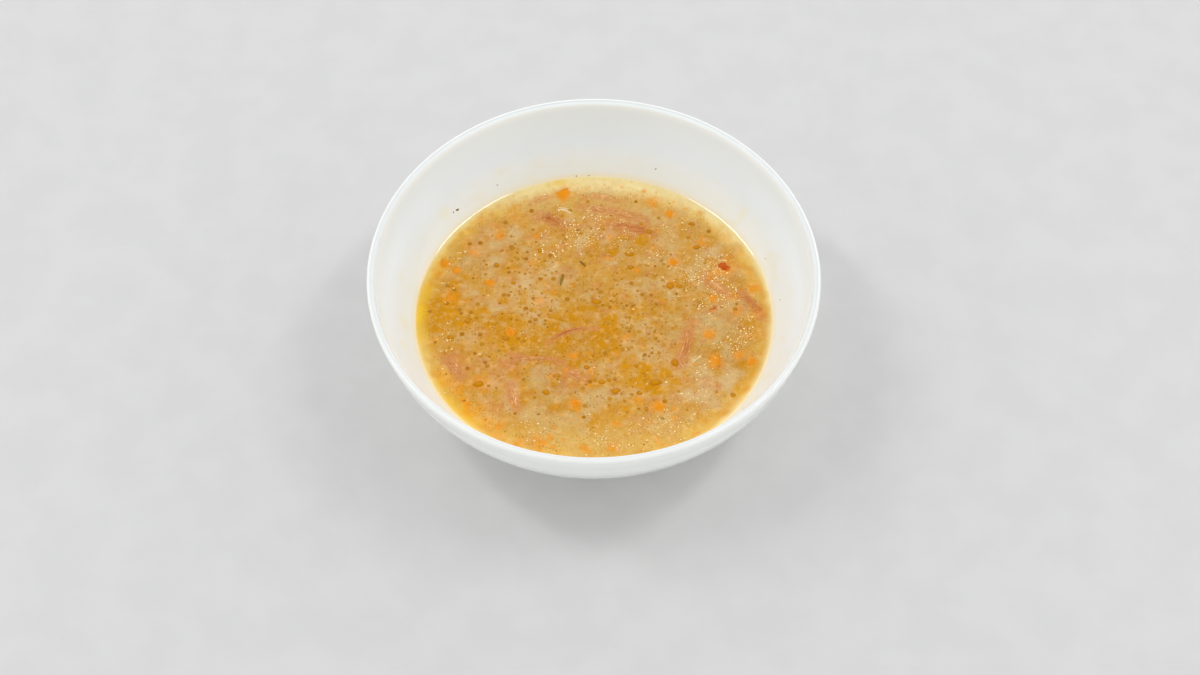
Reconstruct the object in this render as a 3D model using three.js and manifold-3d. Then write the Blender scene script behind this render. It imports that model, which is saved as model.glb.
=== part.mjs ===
// Bowl of veal soup: a round white bowl, the soup in it up to its level, and the shreds that lie in the soup.
// Millimetres, +Z up, +X right, +Y away from the eater. The origin is at the centre of the foot, on the table.
import * as THREE from 'three';
import { mergeVertices } from 'three/addons/utils/BufferGeometryUtils.js';
import Module from 'manifold-3d';

// Bowl
const RIM_RADIUS = 75;
const BOWL_HEIGHT = 48;
const LIP_WIDTH = 2.4;
const LIP_OVERHANG = 0.5;
const LIP_HEIGHT = 3;
const INNER_DEPTH = 41;
const FOOT_RADIUS = 30;
const FOOT_WIDTH = 4;
const FOOT_RECESS = 3;
const FOOT_EDGE = 0.6;
// A wall's radius falls with depth as the cosine of its turn raised to this power: smaller is rounder.
const INNER_ROUNDNESS = 0.68;
const OUTER_ROUNDNESS = 0.72;

// Soup
const SOUP_LEVEL = 21.2;
const CLEARANCE = 0.3;

// Fineness of the curved surfaces
const TURN_STEPS = 60;
const WALL_STEPS = 12;
const LIP_STEPS = 6;
const STRAND_SIDES = 8;
const STRAND_STEPS = 9;

// Shreds and bits: how they float, and how uneven they are
const STRAND_RISE = 0.35;
const STRAND_FLATNESS = 0.32;
const FIBRE_LOBES = 3;
const FIBRE_DEPTH = 0.12;
const BIT_RISE = 0.3;
const BIT_UNEVENNESS = 0.25;
const BIT_SPACE = 0.8;
const EDGE_SPACE = 2;

// Each shred of veal runs from one point of the surface to another and bows sideways between them.
const VEAL_SHREDS = [
  { from: [-4.6, 47.6], to: [18.0, 41.4], bow: 0.6, width: 3.2 },
  { from: [5.6, 39.8], to: [20.8, 35.4], bow: 0.4, width: 3.2 },
  { from: [-3.4, 51.6], to: [7.6, 50.2], bow: 1.2, width: 2.6 },
  { from: [-19.0, 43.9], to: [-10.4, 39.3], bow: 0.4, width: 4.0 },
  { from: [-22.0, 49.4], to: [-15.0, 52.4], bow: 0.3, width: 1.6 },
  { from: [50.4, 9.6], to: [57.0, -1.2], bow: 1.0, width: 2.6 },
  { from: [38.7, 15.3], to: [46.2, 8.6], bow: 0.4, width: 2.4 },
  { from: [38.8, 1.8], to: [42.8, 5.0], bow: -0.2, width: 1.2 },
  { from: [33.2, -2.5], to: [28.7, -20.3], bow: 0.2, width: 3.0 },
  { from: [-15.6, -11.2], to: [0.7, -5.3], bow: 2.2, width: 1.4 },
  { from: [-30.5, -19.6], to: [-10.4, -19.2], bow: 2.3, width: 1.6 },
  { from: [-8.9, -22.5], to: [-3.9, -26.1], bow: 0.3, width: 3.2 },
  { from: [-28.4, -28.0], to: [-25.8, -38.0], bow: 0.6, width: 2.4 },
  { from: [-49.4, -17.2], to: [-44.8, -24.6], bow: 0.5, width: 3.6 },
];

const ONION_STRIPS = [
  { from: [-13.6, 47.0], to: [-6.4, 44.4], bow: 0.6, width: 2.0 },
  { from: [32.2, -20.0], to: [37.0, -15.6], bow: 0.4, width: 1.6 },
];

// The bits that float in the soup. The carrot pieces that stand out lie where they are given, as do the piece of
// red pepper and the two dill leaves. The finer bits are spread by a rule: how many, and their size.
const CARROT_PIECES = [
  { at: [-10.6, 53.2], length: 5.0 },
  { at: [20.7, 49.5], length: 4.4 },
  { at: [26.8, 44.2], length: 3.6 },
  { at: [-32.9, 34.8], length: 3.2 },
  { at: [27.4, 22.9], length: 3.2 },
  { at: [-51.6, 22.6], length: 3.6 },
  { at: [-47.6, 19.6], length: 2.8 },
  { at: [-35.8, 14.3], length: 2.7 },
  { at: [54.5, 11.3], length: 3.0 },
  { at: [41.1, 7.2], length: 3.2 },
  { at: [-49.5, 8.0], length: 4.4 },
  { at: [-28.3, -6.5], length: 3.0 },
  { at: [39.0, -7.6], length: 4.4 },
  { at: [-7.0, -16.4], length: 3.0 },
  { at: [48.8, -16.0], length: 4.0 },
  { at: [52.8, -19.0], length: 3.4 },
  { at: [40.6, -18.8], length: 4.4 },
  { at: [-37.7, -27.3], length: 5.0 },
  { at: [-6.2, -35.7], length: 3.3 },
  { at: [21.5, -37.0], length: 4.0 },
];
const CARROT_BREADTH = 0.78;
const CARROT_THICKNESS = 0.36;
const FINE_CARROT = { count: 14, size: [2.6, 2.0, 0.9] };
const HERB = { count: 14, size: [1.6, 0.9, 0.6] };
const PEPPER = { at: [45.0, 21.0], heading: -0.4, size: [4.0, 3.2, 1.4] };
const DILL_LEAVES = [
  { at: [-11.0, 15.7], heading: 1.5, size: [5.1, 0.9, 0.8] },
  { at: [-4.0, 22.5], heading: -0.9, size: [3.4, 0.7, 0.7] },
];

const wasm = await Module();
wasm.setup();

/** A closed mesh with its corners shared: what both the booleans and the exporter need. */
function welded(geometry) {
  const bare = geometry.clone();
  bare.deleteAttribute('normal');
  bare.deleteAttribute('uv');
  const merged = mergeVertices(bare, 1e-5);
  const corners = merged.index.array;
  const kept = [];
  for (let i = 0; i < corners.length; i += 3) {
    const [a, b, c] = corners.slice(i, i + 3);
    if (a !== b && b !== c && c !== a) {
      kept.push(a, b, c);
    }
  }
  merged.setIndex(kept);
  return merged;
}

/** Three.js geometry to a solid that can be cut and joined. */
function toSolid(geometry) {
  const closed = welded(geometry);
  return new wasm.Manifold(new wasm.Mesh({
    numProp: 3,
    vertProperties: new Float32Array(closed.attributes.position.array),
    triVerts: new Uint32Array(closed.index.array),
  }));
}

/** A cut and joined solid back to three.js geometry. */
function toGeometry(solid) {
  const mesh = solid.getMesh();
  const geometry = new THREE.BufferGeometry();
  geometry.setAttribute('position', new THREE.BufferAttribute(new Float32Array(mesh.vertProperties), 3));
  geometry.setIndex(new THREE.BufferAttribute(new Uint32Array(mesh.triVerts), 1));
  geometry.computeVertexNormals();
  return geometry;
}

/** Turn a profile of (radius, height) points round the Z axis: it leaves the axis on top and comes back below. */
function turned(profile) {
  const points = profile.map(([radius, height]) => new THREE.Vector2(radius, height)).reverse();
  return new THREE.LatheGeometry(points, TURN_STEPS).rotateX(Math.PI / 2);
}

/** One point of a bowl wall: turn 0 is the rim plane, a quarter turn is the bottom on the axis. */
function wallPoint(radius, depth, roundness, turn) {
  const across = radius * Math.max(Math.cos(turn), 0) ** roundness;
  return [across, BOWL_HEIGHT - depth * Math.sin(turn)];
}

/** Points down a wall from one turn to another, both ends included. */
function wallPoints(radius, depth, roundness, fromTurn, toTurn) {
  return Array.from({ length: WALL_STEPS + 1 }, (_, step) => {
    const turn = fromTurn + (toTurn - fromTurn) * step / WALL_STEPS;
    return wallPoint(radius, depth, roundness, turn);
  });
}

const LIP_RADIUS = LIP_WIDTH / 2;
const INNER_RADIUS = RIM_RADIUS - LIP_WIDTH;
const WALL_RADIUS = RIM_RADIUS - LIP_OVERHANG;
const OUTER_DEPTH = BOWL_HEIGHT - FOOT_RECESS;
const BOTTOM_TURN = Math.PI / 2;

/** The turn at which a wall of this depth has come down by drop from the rim plane. */
function turnAtDrop(depth, drop) {
  return Math.asin(drop / depth);
}

function bowlGeometry() {
  const inner = wallPoints(INNER_RADIUS, INNER_DEPTH, INNER_ROUNDNESS,
    BOTTOM_TURN, turnAtDrop(INNER_DEPTH, LIP_RADIUS));
  const lip = Array.from({ length: LIP_STEPS - 1 }, (_, step) => {
    const angle = Math.PI * (1 - (step + 1) / LIP_STEPS);
    return [
      RIM_RADIUS - LIP_RADIUS + LIP_RADIUS * Math.cos(angle),
      BOWL_HEIGHT - LIP_RADIUS + LIP_RADIUS * Math.sin(angle),
    ];
  });
  const footTurn = Math.acos((FOOT_RADIUS / WALL_RADIUS) ** (1 / OUTER_ROUNDNESS));
  const outer = wallPoints(WALL_RADIUS, OUTER_DEPTH, OUTER_ROUNDNESS,
    turnAtDrop(OUTER_DEPTH, LIP_HEIGHT), footTurn);
  const footInside = FOOT_RADIUS - FOOT_WIDTH;
  const foot = [
    [FOOT_RADIUS, FOOT_EDGE],
    [FOOT_RADIUS - FOOT_EDGE, 0],
    [footInside + FOOT_EDGE, 0],
    [footInside, FOOT_EDGE],
    [footInside - FOOT_EDGE, FOOT_RECESS],
    [0, FOOT_RECESS],
  ];
  return turned([...inner, ...lip, [RIM_RADIUS, BOWL_HEIGHT - LIP_RADIUS], ...outer, ...foot]);
}

/** The soup without its pockets and bits: it fills the bowl up to its level, clear of the wall. */
function soupCore() {
  const radius = INNER_RADIUS - CLEARANCE;
  const depth = INNER_DEPTH - CLEARANCE;
  const wall = wallPoints(radius, depth, INNER_ROUNDNESS, turnAtDrop(depth, BOWL_HEIGHT - SOUP_LEVEL), BOTTOM_TURN);
  return turned([[0, SOUP_LEVEL], ...wall]);
}

/** The path of a strand along the surface: a shallow arc from one end to the other. */
function strandPath({ from, to, bow }) {
  const start = new THREE.Vector3(from[0], from[1], 0);
  const end = new THREE.Vector3(to[0], to[1], 0);
  const across = new THREE.Vector3(start.y - end.y, end.x - start.x, 0).normalize();
  const middle = start.clone().add(end).multiplyScalar(0.5).addScaledVector(across, 2 * bow);
  return new THREE.QuadraticBezierCurve3(start, middle, end);
}

/** A flat bundle of fibres with tapered ends, made by laying a sphere's rows along the strand's path. */
function strandGeometry(strand, grow = 0) {
  const path = strandPath(strand);
  const geometry = new THREE.SphereGeometry(1, STRAND_SIDES, STRAND_STEPS);
  const position = geometry.attributes.position;
  const halfWidth = strand.width / 2 + grow;
  const halfHeight = strand.width * STRAND_FLATNESS + grow;
  const centreHeight = SOUP_LEVEL + STRAND_RISE + grow - halfHeight;
  for (let i = 0; i < position.count; i += 1) {
    const along = position.getY(i);
    const angle = Math.atan2(position.getZ(i), position.getX(i));
    const taper = Math.sqrt(Math.max(1 - along ** 4, 0));
    const lobes = 1 + FIBRE_DEPTH * Math.cos(FIBRE_LOBES * angle + 2 * along);
    const share = THREE.MathUtils.clamp((1 + along) / 2, 0, 1);
    const point = path.getPoint(share);
    const tangent = path.getTangent(share);
    point.addScaledVector(tangent, along * grow);
    const side = halfWidth * taper * lobes * Math.cos(angle);
    const height = halfHeight * taper * lobes * Math.sin(angle);
    position.setXYZ(i, point.x - tangent.y * side, point.y + tangent.x * side, centreHeight + height);
  }
  return geometry;
}

/** A solid made by strandGeometry may come out mirrored: turn its faces outward. */
function strandSolid(strand, grow = 0) {
  const geometry = welded(strandGeometry(strand, grow));
  const solid = toSolid(geometry.clone());
  if (solid.volume() > 0) {
    return solid;
  }
  const corners = geometry.index.array;
  for (let i = 0; i < corners.length; i += 3) {
    [corners[i], corners[i + 1]] = [corners[i + 1], corners[i]];
  }
  return toSolid(geometry);
}

/** The even, irregular number sequence that spreads the bits: the digits of index in a base, mirrored. */
function spread(index, base) {
  let value = 0;
  let share = 1 / base;
  for (let rest = index; rest > 0; rest = Math.floor(rest / base)) {
    value += (rest % base) * share;
    share /= base;
  }
  return value;
}

/** An uneven lump of the given length, breadth and thickness that floats with its top just proud. */
function bitSolid({ at, heading, size, index }) {
  const geometry = welded(new THREE.IcosahedronGeometry(1, 0));
  const position = geometry.attributes.position;
  for (let i = 0; i < position.count; i += 1) {
    const swell = 1 - BIT_UNEVENNESS * spread(index + i + 1, 2);
    position.setXYZ(i,
      position.getX(i) * swell * size[0] / 2,
      position.getY(i) * swell * size[1] / 2,
      position.getZ(i) * swell * size[2] / 2);
  }
  geometry.rotateZ(heading);
  geometry.computeBoundingBox();
  const top = SOUP_LEVEL + BIT_RISE * size[2];
  geometry.translate(at[0], at[1], top - geometry.boundingBox.max.z);
  return toSolid(geometry);
}

/** One of the larger carrot pieces, turned as its number in the list says. */
function carrotPiece({ at, length }, order) {
  const size = [length, length * CARROT_BREADTH, length * CARROT_THICKNESS];
  return { at, heading: Math.PI * spread(order + 1, 7), size, index: order };
}

/** How far a point of the surface lies from a strand's edge. */
function strandDistance(strand, at) {
  const path = strandPath(strand);
  const samples = path.getPoints(STRAND_STEPS);
  const nearest = Math.min(...samples.map((point) => Math.hypot(point.x - at[0], point.y - at[1])));
  return nearest - strand.width / 2;
}

/** Spread bits of one kind over the surface, skipping places too near to the edge, a strand or a bit. */
function spreadBits({ count, size }, firstIndex, strands, placed) {
  const reach = SOUP_SURFACE_RADIUS - EDGE_SPACE - size[0] / 2;
  const bits = [];
  for (let index = firstIndex; bits.length < count; index += 1) {
    const radius = reach * Math.sqrt(spread(index, 2));
    const angle = 2 * Math.PI * spread(index, 3);
    const at = [radius * Math.cos(angle), radius * Math.sin(angle)];
    const clearOfStrands = strands.every((strand) => strandDistance(strand, at) > size[0] / 2 + BIT_SPACE);
    const clearOfBits = [...placed, ...bits].every((other) => (
      Math.hypot(other.at[0] - at[0], other.at[1] - at[1]) > (other.size[0] + size[0]) / 2 + BIT_SPACE));
    if (clearOfStrands && clearOfBits) {
      const scale = 0.75 + 0.5 * spread(index, 5);
      bits.push({ at, heading: Math.PI * spread(index, 7), size: size.map((side) => side * scale), index });
    }
  }
  return bits;
}

const SOUP_SURFACE_RADIUS = wallPoint(INNER_RADIUS - CLEARANCE, INNER_DEPTH - CLEARANCE, INNER_ROUNDNESS,
  turnAtDrop(INNER_DEPTH - CLEARANCE, BOWL_HEIGHT - SOUP_LEVEL))[0];

/** The soup with a pocket for each strand and its floating bits joined on. */
function soupGeometry(strands) {
  const placed = [PEPPER, ...DILL_LEAVES].map((bit, order) => ({ ...bit, index: order }));
  placed.push(...CARROT_PIECES.map(carrotPiece));
  placed.push(...spreadBits(FINE_CARROT, 1, strands, placed));
  placed.push(...spreadBits(HERB, 1000, strands, placed));
  let soup = toSolid(soupCore());
  for (const bit of placed) {
    soup = soup.add(bitSolid(bit));
  }
  for (const strand of strands) {
    soup = soup.subtract(strandSolid(strand, CLEARANCE));
  }
  return toGeometry(soup);
}

const glaze = new THREE.MeshStandardMaterial({ color: 0xf2f1ec, roughness: 0.12, metalness: 0 });
const broth = new THREE.MeshStandardMaterial({ color: 0xd9a04f, roughness: 0.25, metalness: 0 });
const veal = new THREE.MeshStandardMaterial({ color: 0xb9755c, roughness: 0.45, metalness: 0 });
const onion = new THREE.MeshStandardMaterial({ color: 0xe6cf9f, roughness: 0.4, metalness: 0 });

/** One named piece of the part. */
function piece(name, geometry, material) {
  const mesh = new THREE.Mesh(geometry, material);
  mesh.name = name;
  return mesh;
}

const group = new THREE.Group();
group.add(piece('bowl', welded(bowlGeometry()), glaze));
group.add(piece('soup', soupGeometry([...VEAL_SHREDS, ...ONION_STRIPS]), broth));
VEAL_SHREDS.forEach((strand, order) => {
  group.add(piece(`veal_shred_${order + 1}`, toGeometry(strandSolid(strand)), veal));
});
ONION_STRIPS.forEach((strand, order) => {
  group.add(piece(`onion_strip_${order + 1}`, toGeometry(strandSolid(strand)), onion));
});

export default group;
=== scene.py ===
"""Dresses the bowl of veal soup: the glazed bowl, the cloudy broth with its oil, and what floats in it.

Lengths are in metres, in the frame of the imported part: +Z up, +X right, +Y away from the eater.
Places on the soup's surface are written in millimetres from its middle and turned into metres by MM.
"""

import logging
import math
from dataclasses import dataclass
from enum import Enum
from itertools import product
from typing import Iterable, Sequence

import bmesh
import bpy
import numpy as np
from bpy.types import ID, Material, Node, NodeSocket, NodeTree, Object
from mathutils import Matrix, Vector


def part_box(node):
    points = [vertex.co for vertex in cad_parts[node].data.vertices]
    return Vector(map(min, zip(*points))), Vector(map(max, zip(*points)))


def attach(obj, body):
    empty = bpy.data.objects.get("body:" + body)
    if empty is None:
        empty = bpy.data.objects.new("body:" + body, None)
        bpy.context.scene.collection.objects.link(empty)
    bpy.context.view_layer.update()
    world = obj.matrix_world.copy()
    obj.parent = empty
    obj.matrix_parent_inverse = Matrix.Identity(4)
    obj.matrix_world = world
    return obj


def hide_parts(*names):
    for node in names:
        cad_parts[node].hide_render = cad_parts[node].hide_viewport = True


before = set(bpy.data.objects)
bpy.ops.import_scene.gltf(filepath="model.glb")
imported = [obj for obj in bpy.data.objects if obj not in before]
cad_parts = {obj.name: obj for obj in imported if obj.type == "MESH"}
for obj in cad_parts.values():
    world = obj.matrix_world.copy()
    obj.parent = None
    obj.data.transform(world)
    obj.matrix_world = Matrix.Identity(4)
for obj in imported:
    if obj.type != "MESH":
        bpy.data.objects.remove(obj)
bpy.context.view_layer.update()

log = logging.getLogger("soup")

MM = 0.001
BODY = "root"

Colour = tuple[float, float, float, float]
Point2 = tuple[float, float]
Range = tuple[float, float]
Faces = list[list[int]]

GREY: Colour = (0.5, 0.5, 0.5, 1.0)
# Where in its turn a random wave starts.
PHASES: Range = (0.0, 6.0)
# Faces that meet at a sharper angle than this, in radians, keep a crisp edge.
CRISP_ANGLE = 1.6


def linear(red: int, green: int, blue: int) -> Colour:
    """Turn a colour as seen on a screen, 0 to 255, into the linear colour that a shader takes.

    Args:
        red: Red as seen.
        green: Green as seen.
        blue: Blue as seen.

    Returns:
        The linear colour with full alpha.
    """
    def channel(value: int) -> float:
        """One channel, by the sRGB curve."""
        share = value / 255
        return share / 12.92 if share <= 0.04045 else ((share + 0.055) / 1.055) ** 2.4
    return channel(red), channel(green), channel(blue), 1.0


def mirrored_digits(index: int, base: int) -> float:
    """The even, irregular number sequence by which the part spreads its bits over the surface.

    Args:
        index: Which number of the sequence.
        base: The base whose digits are mirrored behind the point.

    Returns:
        A number from 0 up to 1.
    """
    value = 0.0
    share = 1 / base
    rest = index
    while rest > 0:
        value += (rest % base) * share
        rest //= base
        share /= base
    return value


def smooth_step(low: float, high: float, value: np.ndarray) -> np.ndarray:
    """Rise from 0 at low to 1 at high, with soft ends."""
    share = np.clip((value - low) / (high - low), 0, 1)
    return share * share * (3 - 2 * share)


def rounded_ends(shares: np.ndarray, power: int, tip: float) -> np.ndarray:
    """Full along the middle of a run from 0 to 1, and rounded off to a share at its tips."""
    return np.sqrt(np.clip(1 - np.abs(2 * shares - 1) ** power, 0, 1)) * (1 - tip) + tip


# What lies in the soup, and patterns on its surface


@dataclass(frozen=True)
class Strand:
    """A shred in the soup: it runs from start to end, in millimetres, and bows sideways between them.

    How dark it is runs from 0 to 1.
    """

    start: Point2
    end: Point2
    bow: float
    width: float
    dark: float = 0.4

    def places(self, shares: np.ndarray) -> tuple[np.ndarray, np.ndarray]:
        """Points and sideways directions along the strand.

        Args:
            shares: How far along the points lie, from 0 to 1.

        Returns:
            The points and the directions across the strand, in metres, one row each.
        """
        start, end = np.array(self.start) * MM, np.array(self.end) * MM
        along = (end - start) / np.linalg.norm(end - start)
        middle = (start + end) / 2 + np.array([-along[1], along[0]]) * 2 * self.bow * MM
        share = shares[:, None]
        points = start * (1 - share) ** 2 + middle * 2 * share * (1 - share) + end * share ** 2
        tangents = (middle - start) * (1 - share) + (end - middle) * share
        tangents /= np.linalg.norm(tangents, axis=1)[:, None]
        return points, np.stack([-tangents[:, 1], tangents[:, 0]], axis=1)


@dataclass(frozen=True)
class Bit:
    """A small topping: its middle and its length, breadth and thickness, all in millimetres."""

    at: Point2
    size: tuple[float, float, float]
    heading: float
    shown: float = 0.6


@dataclass(frozen=True)
class CarrotPiece:
    """A carrot piece that stands out: its middle and length in millimetres, and how clearly it shows."""

    at: Point2
    length: float
    shown: float = 0.4
    breadth: float = 0.78
    thickness: float = 0.36

    def bit(self, order: int) -> Bit:
        """The piece as a bit, turned as its number in the list says."""
        size = (self.length, self.length * self.breadth, self.length * self.thickness)
        return Bit(self.at, size, math.pi * mirrored_digits(order, 7), self.shown)


@dataclass(frozen=True)
class Patch:
    """A soft-edged stain on the broth, in millimetres."""

    x: float
    y: float
    reach: float
    strength: float = 1.0


def patches(*rows: tuple[float, ...]) -> tuple[Patch, ...]:
    """Patches from rows of x, y, reach and, where it isn't full, strength."""
    return tuple(Patch(*row) for row in rows)


@dataclass(frozen=True)
class Places:
    """Places on the soup's surface, in metres from its middle, and the patterns to be seen there.

    The rag is how far the edges of patches are pulled about.
    """

    x: np.ndarray
    y: np.ndarray
    rag: float = 2.2 * MM
    rag_cell: float = 4 * MM
    spot_edge: Range = (0.5, 1.2)
    strand_edge: Range = (-0.6 * MM, 1.6 * MM)

    def away(self, x: float | np.ndarray, y: float | np.ndarray) -> np.ndarray:
        """How far each place lies from a point, or from its own of as many points."""
        return np.hypot(self.x - x, self.y - y)

    def cloud(self, cell: float, seed: int) -> np.ndarray:
        """Smooth noise.

        Args:
            cell: The size of one swell of the noise.
            seed: Picks the pattern.

        Returns:
            Values from 0 to 1, one for each place.
        """
        side = 64
        table = np.random.default_rng(seed).random((side, side))
        column, row = self.x / cell + side / 2, self.y / cell + side / 2
        left, low = np.floor(column).astype(int), np.floor(row).astype(int)
        across, up = smooth_step(0, 1, column - left), smooth_step(0, 1, row - low)
        bottom, top = (
            table[left % side, line % side] * (1 - across) + table[(left + 1) % side, line % side] * across
            for line in (low, low + 1)
        )
        return bottom * (1 - up) + top * up

    def spots(self, cell: float, smallest: float, largest: float, seed: int) -> np.ndarray:
        """Round soft-edged spots of uneven size and strength, about one in each cell.

        Args:
            cell: How far apart the spots lie.
            smallest: Radius of the smallest spots.
            largest: Radius of the largest spots.
            seed: Picks the pattern.

        Returns:
            Values from 0 between the spots up to 1.
        """
        side = 128
        across, up, size, strength = np.random.default_rng(seed).random((4, side, side))
        column, row = np.floor(self.x / cell).astype(int), np.floor(self.y / cell).astype(int)
        values = np.zeros_like(self.x)
        for right, ahead in product((-1, 0, 1), repeat=2):
            here = (column + right) % side, (row + ahead) % side
            radius = smallest + (largest - smallest) * size[here] ** 3
            away = self.away((column + right + across[here]) * cell, (row + ahead + up[here]) * cell) / radius
            values = np.maximum(values, strength[here] * (1 - smooth_step(*self.spot_edge, away)))
        return values

    def cover(self, stains: Iterable[Patch], seed: int) -> np.ndarray:
        """How much a kind of patch covers each place.

        Args:
            stains: The patches.
            seed: Picks how ragged their edges are.

        Returns:
            Cover from 0 to 1.
        """
        pulled = Places(self.x + (self.cloud(self.rag_cell, seed) - 0.5) * 2 * self.rag,
                        self.y + (self.cloud(self.rag_cell, seed + 1) - 0.5) * 2 * self.rag)
        total = np.zeros_like(self.x)
        for patch in stains:
            away = pulled.away(patch.x * MM, patch.y * MM) / (patch.reach * MM)
            total += patch.strength * np.exp(-away ** 2)
        return np.clip(total, 0, 1)

    def near_strands(self, strands: Iterable[Strand]) -> np.ndarray:
        """How near each place lies to a shred, 1 beside it and 0 away from it."""
        nearest = np.full_like(self.x, 1.0)
        for strand in strands:
            for x, y in strand.places(np.linspace(0, 1, 14))[0]:
                nearest = np.minimum(nearest, self.away(x, y) - strand.width * MM / 2)
        ragged = (self.cloud(1.3 * MM, 31) - 0.5) * 1.4 * MM
        return 1 - smooth_step(*self.strand_edge, nearest + ragged)

    def near_bits(self, bits: Iterable[Bit]) -> np.ndarray:
        """How near each place lies to a bit, up to 1 beside one that stands out and 0 away from them."""
        shine = np.zeros_like(self.x)
        ragged = 1 + (self.cloud(1.1 * MM, 33) - 0.5) * 0.7
        for bit in bits:
            away = self.away(bit.at[0] * MM, bit.at[1] * MM) / (0.6 * bit.size[0] * MM) * ragged
            shine = np.maximum(shine, (0.4 + 0.6 * bit.shown) * np.exp(-away ** 3))
        return shine


# Meshes


def place_object(name: str, data: ID) -> Object:
    """Put a new object with this data into the scene."""
    placed = bpy.data.objects.new(name, data)
    bpy.context.scene.collection.objects.link(placed)
    return placed


def mesh_piece(name: str, vertices: np.ndarray, faces: Faces) -> Object:
    """Make a smooth mesh object at the origin from its corners and faces.

    Args:
        name: The piece's name.
        vertices: Corners, one row each.
        faces: Corner numbers of each face, counted anticlockwise from outside.

    Returns:
        The object.
    """
    mesh = bpy.data.meshes.new(name)
    mesh.from_pydata(vertices.tolist(), [], faces)
    mesh.validate()
    mesh.shade_smooth()
    return place_object(name, mesh)


@dataclass(frozen=True)
class Shell:
    """A closed surface, with the depth of its colour, from 0 to 1, all over or at each corner."""

    corners: np.ndarray
    faces: Faces
    depth: float | np.ndarray


def joined_piece(name: str, shells: Sequence[Shell]) -> Object:
    """Join shells into one mesh object that carries their depths.

    Args:
        name: The piece's name.
        shells: The shells.

    Returns:
        The object.
    """
    faces: Faces = []
    used = 0
    for shell in shells:
        faces += [[used + corner for corner in face] for face in shell.faces]
        used += len(shell.corners)
    piece = mesh_piece(name, np.concatenate([shell.corners for shell in shells]), faces)
    depths = [np.broadcast_to(shell.depth, len(shell.corners)) for shell in shells]
    store_float(piece, "depth", np.concatenate(depths))
    return piece


def turned_shell(profile: Sequence[Point2], segments: int) -> tuple[np.ndarray, Faces]:
    """Turn a profile that starts and ends on the axis round Z.

    Args:
        profile: Points of (radius, height), with the outside on the right of the way they run.
        segments: How many steps the turn has.

    Returns:
        Corners and faces of the closed shell.
    """
    angles = np.arange(segments) * 2 * math.pi / segments
    rings = profile[1:-1]
    corners = [(0.0, 0.0, profile[0][1])]
    for radius, height in rings:
        corners += [(radius * math.cos(a), radius * math.sin(a), height) for a in angles]
    corners.append((0.0, 0.0, profile[-1][1]))
    last = len(corners) - 1
    end = 1 + (len(rings) - 1) * segments
    faces = []
    for step in range(segments):
        after = (step + 1) % segments
        faces.append([1 + step, 1 + after, 0])
        for inner in range(1, end, segments):
            outer = inner + segments
            faces.append([inner + step, outer + step, outer + after, inner + after])
        faces.append([end + step, last, end + after])
    return np.array(corners), faces


def store_float(piece: Object, name: str, values: np.ndarray) -> None:
    """Keep one number for each corner of a piece under a name that materials can read."""
    attribute = piece.data.attributes.new(name, "FLOAT", "POINT")
    attribute.data.foreach_set("value", values.astype(np.float32))


def store_colour(piece: Object, name: str, values: np.ndarray) -> None:
    """Keep one colour for each corner of a piece under a name that materials can read."""
    attribute = piece.data.attributes.new(name, "FLOAT_COLOR", "POINT")
    opaque = np.concatenate([values, np.ones((len(values), 1))], axis=1)
    attribute.data.foreach_set("color", opaque.astype(np.float32).ravel())


def corners_of(piece: Object) -> np.ndarray:
    """The corners of a piece, one row each."""
    places = np.empty(len(piece.data.vertices) * 3, np.float32)
    piece.data.vertices.foreach_get("co", places)
    return places.reshape(-1, 3).astype(float)


# Node sheets


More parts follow.
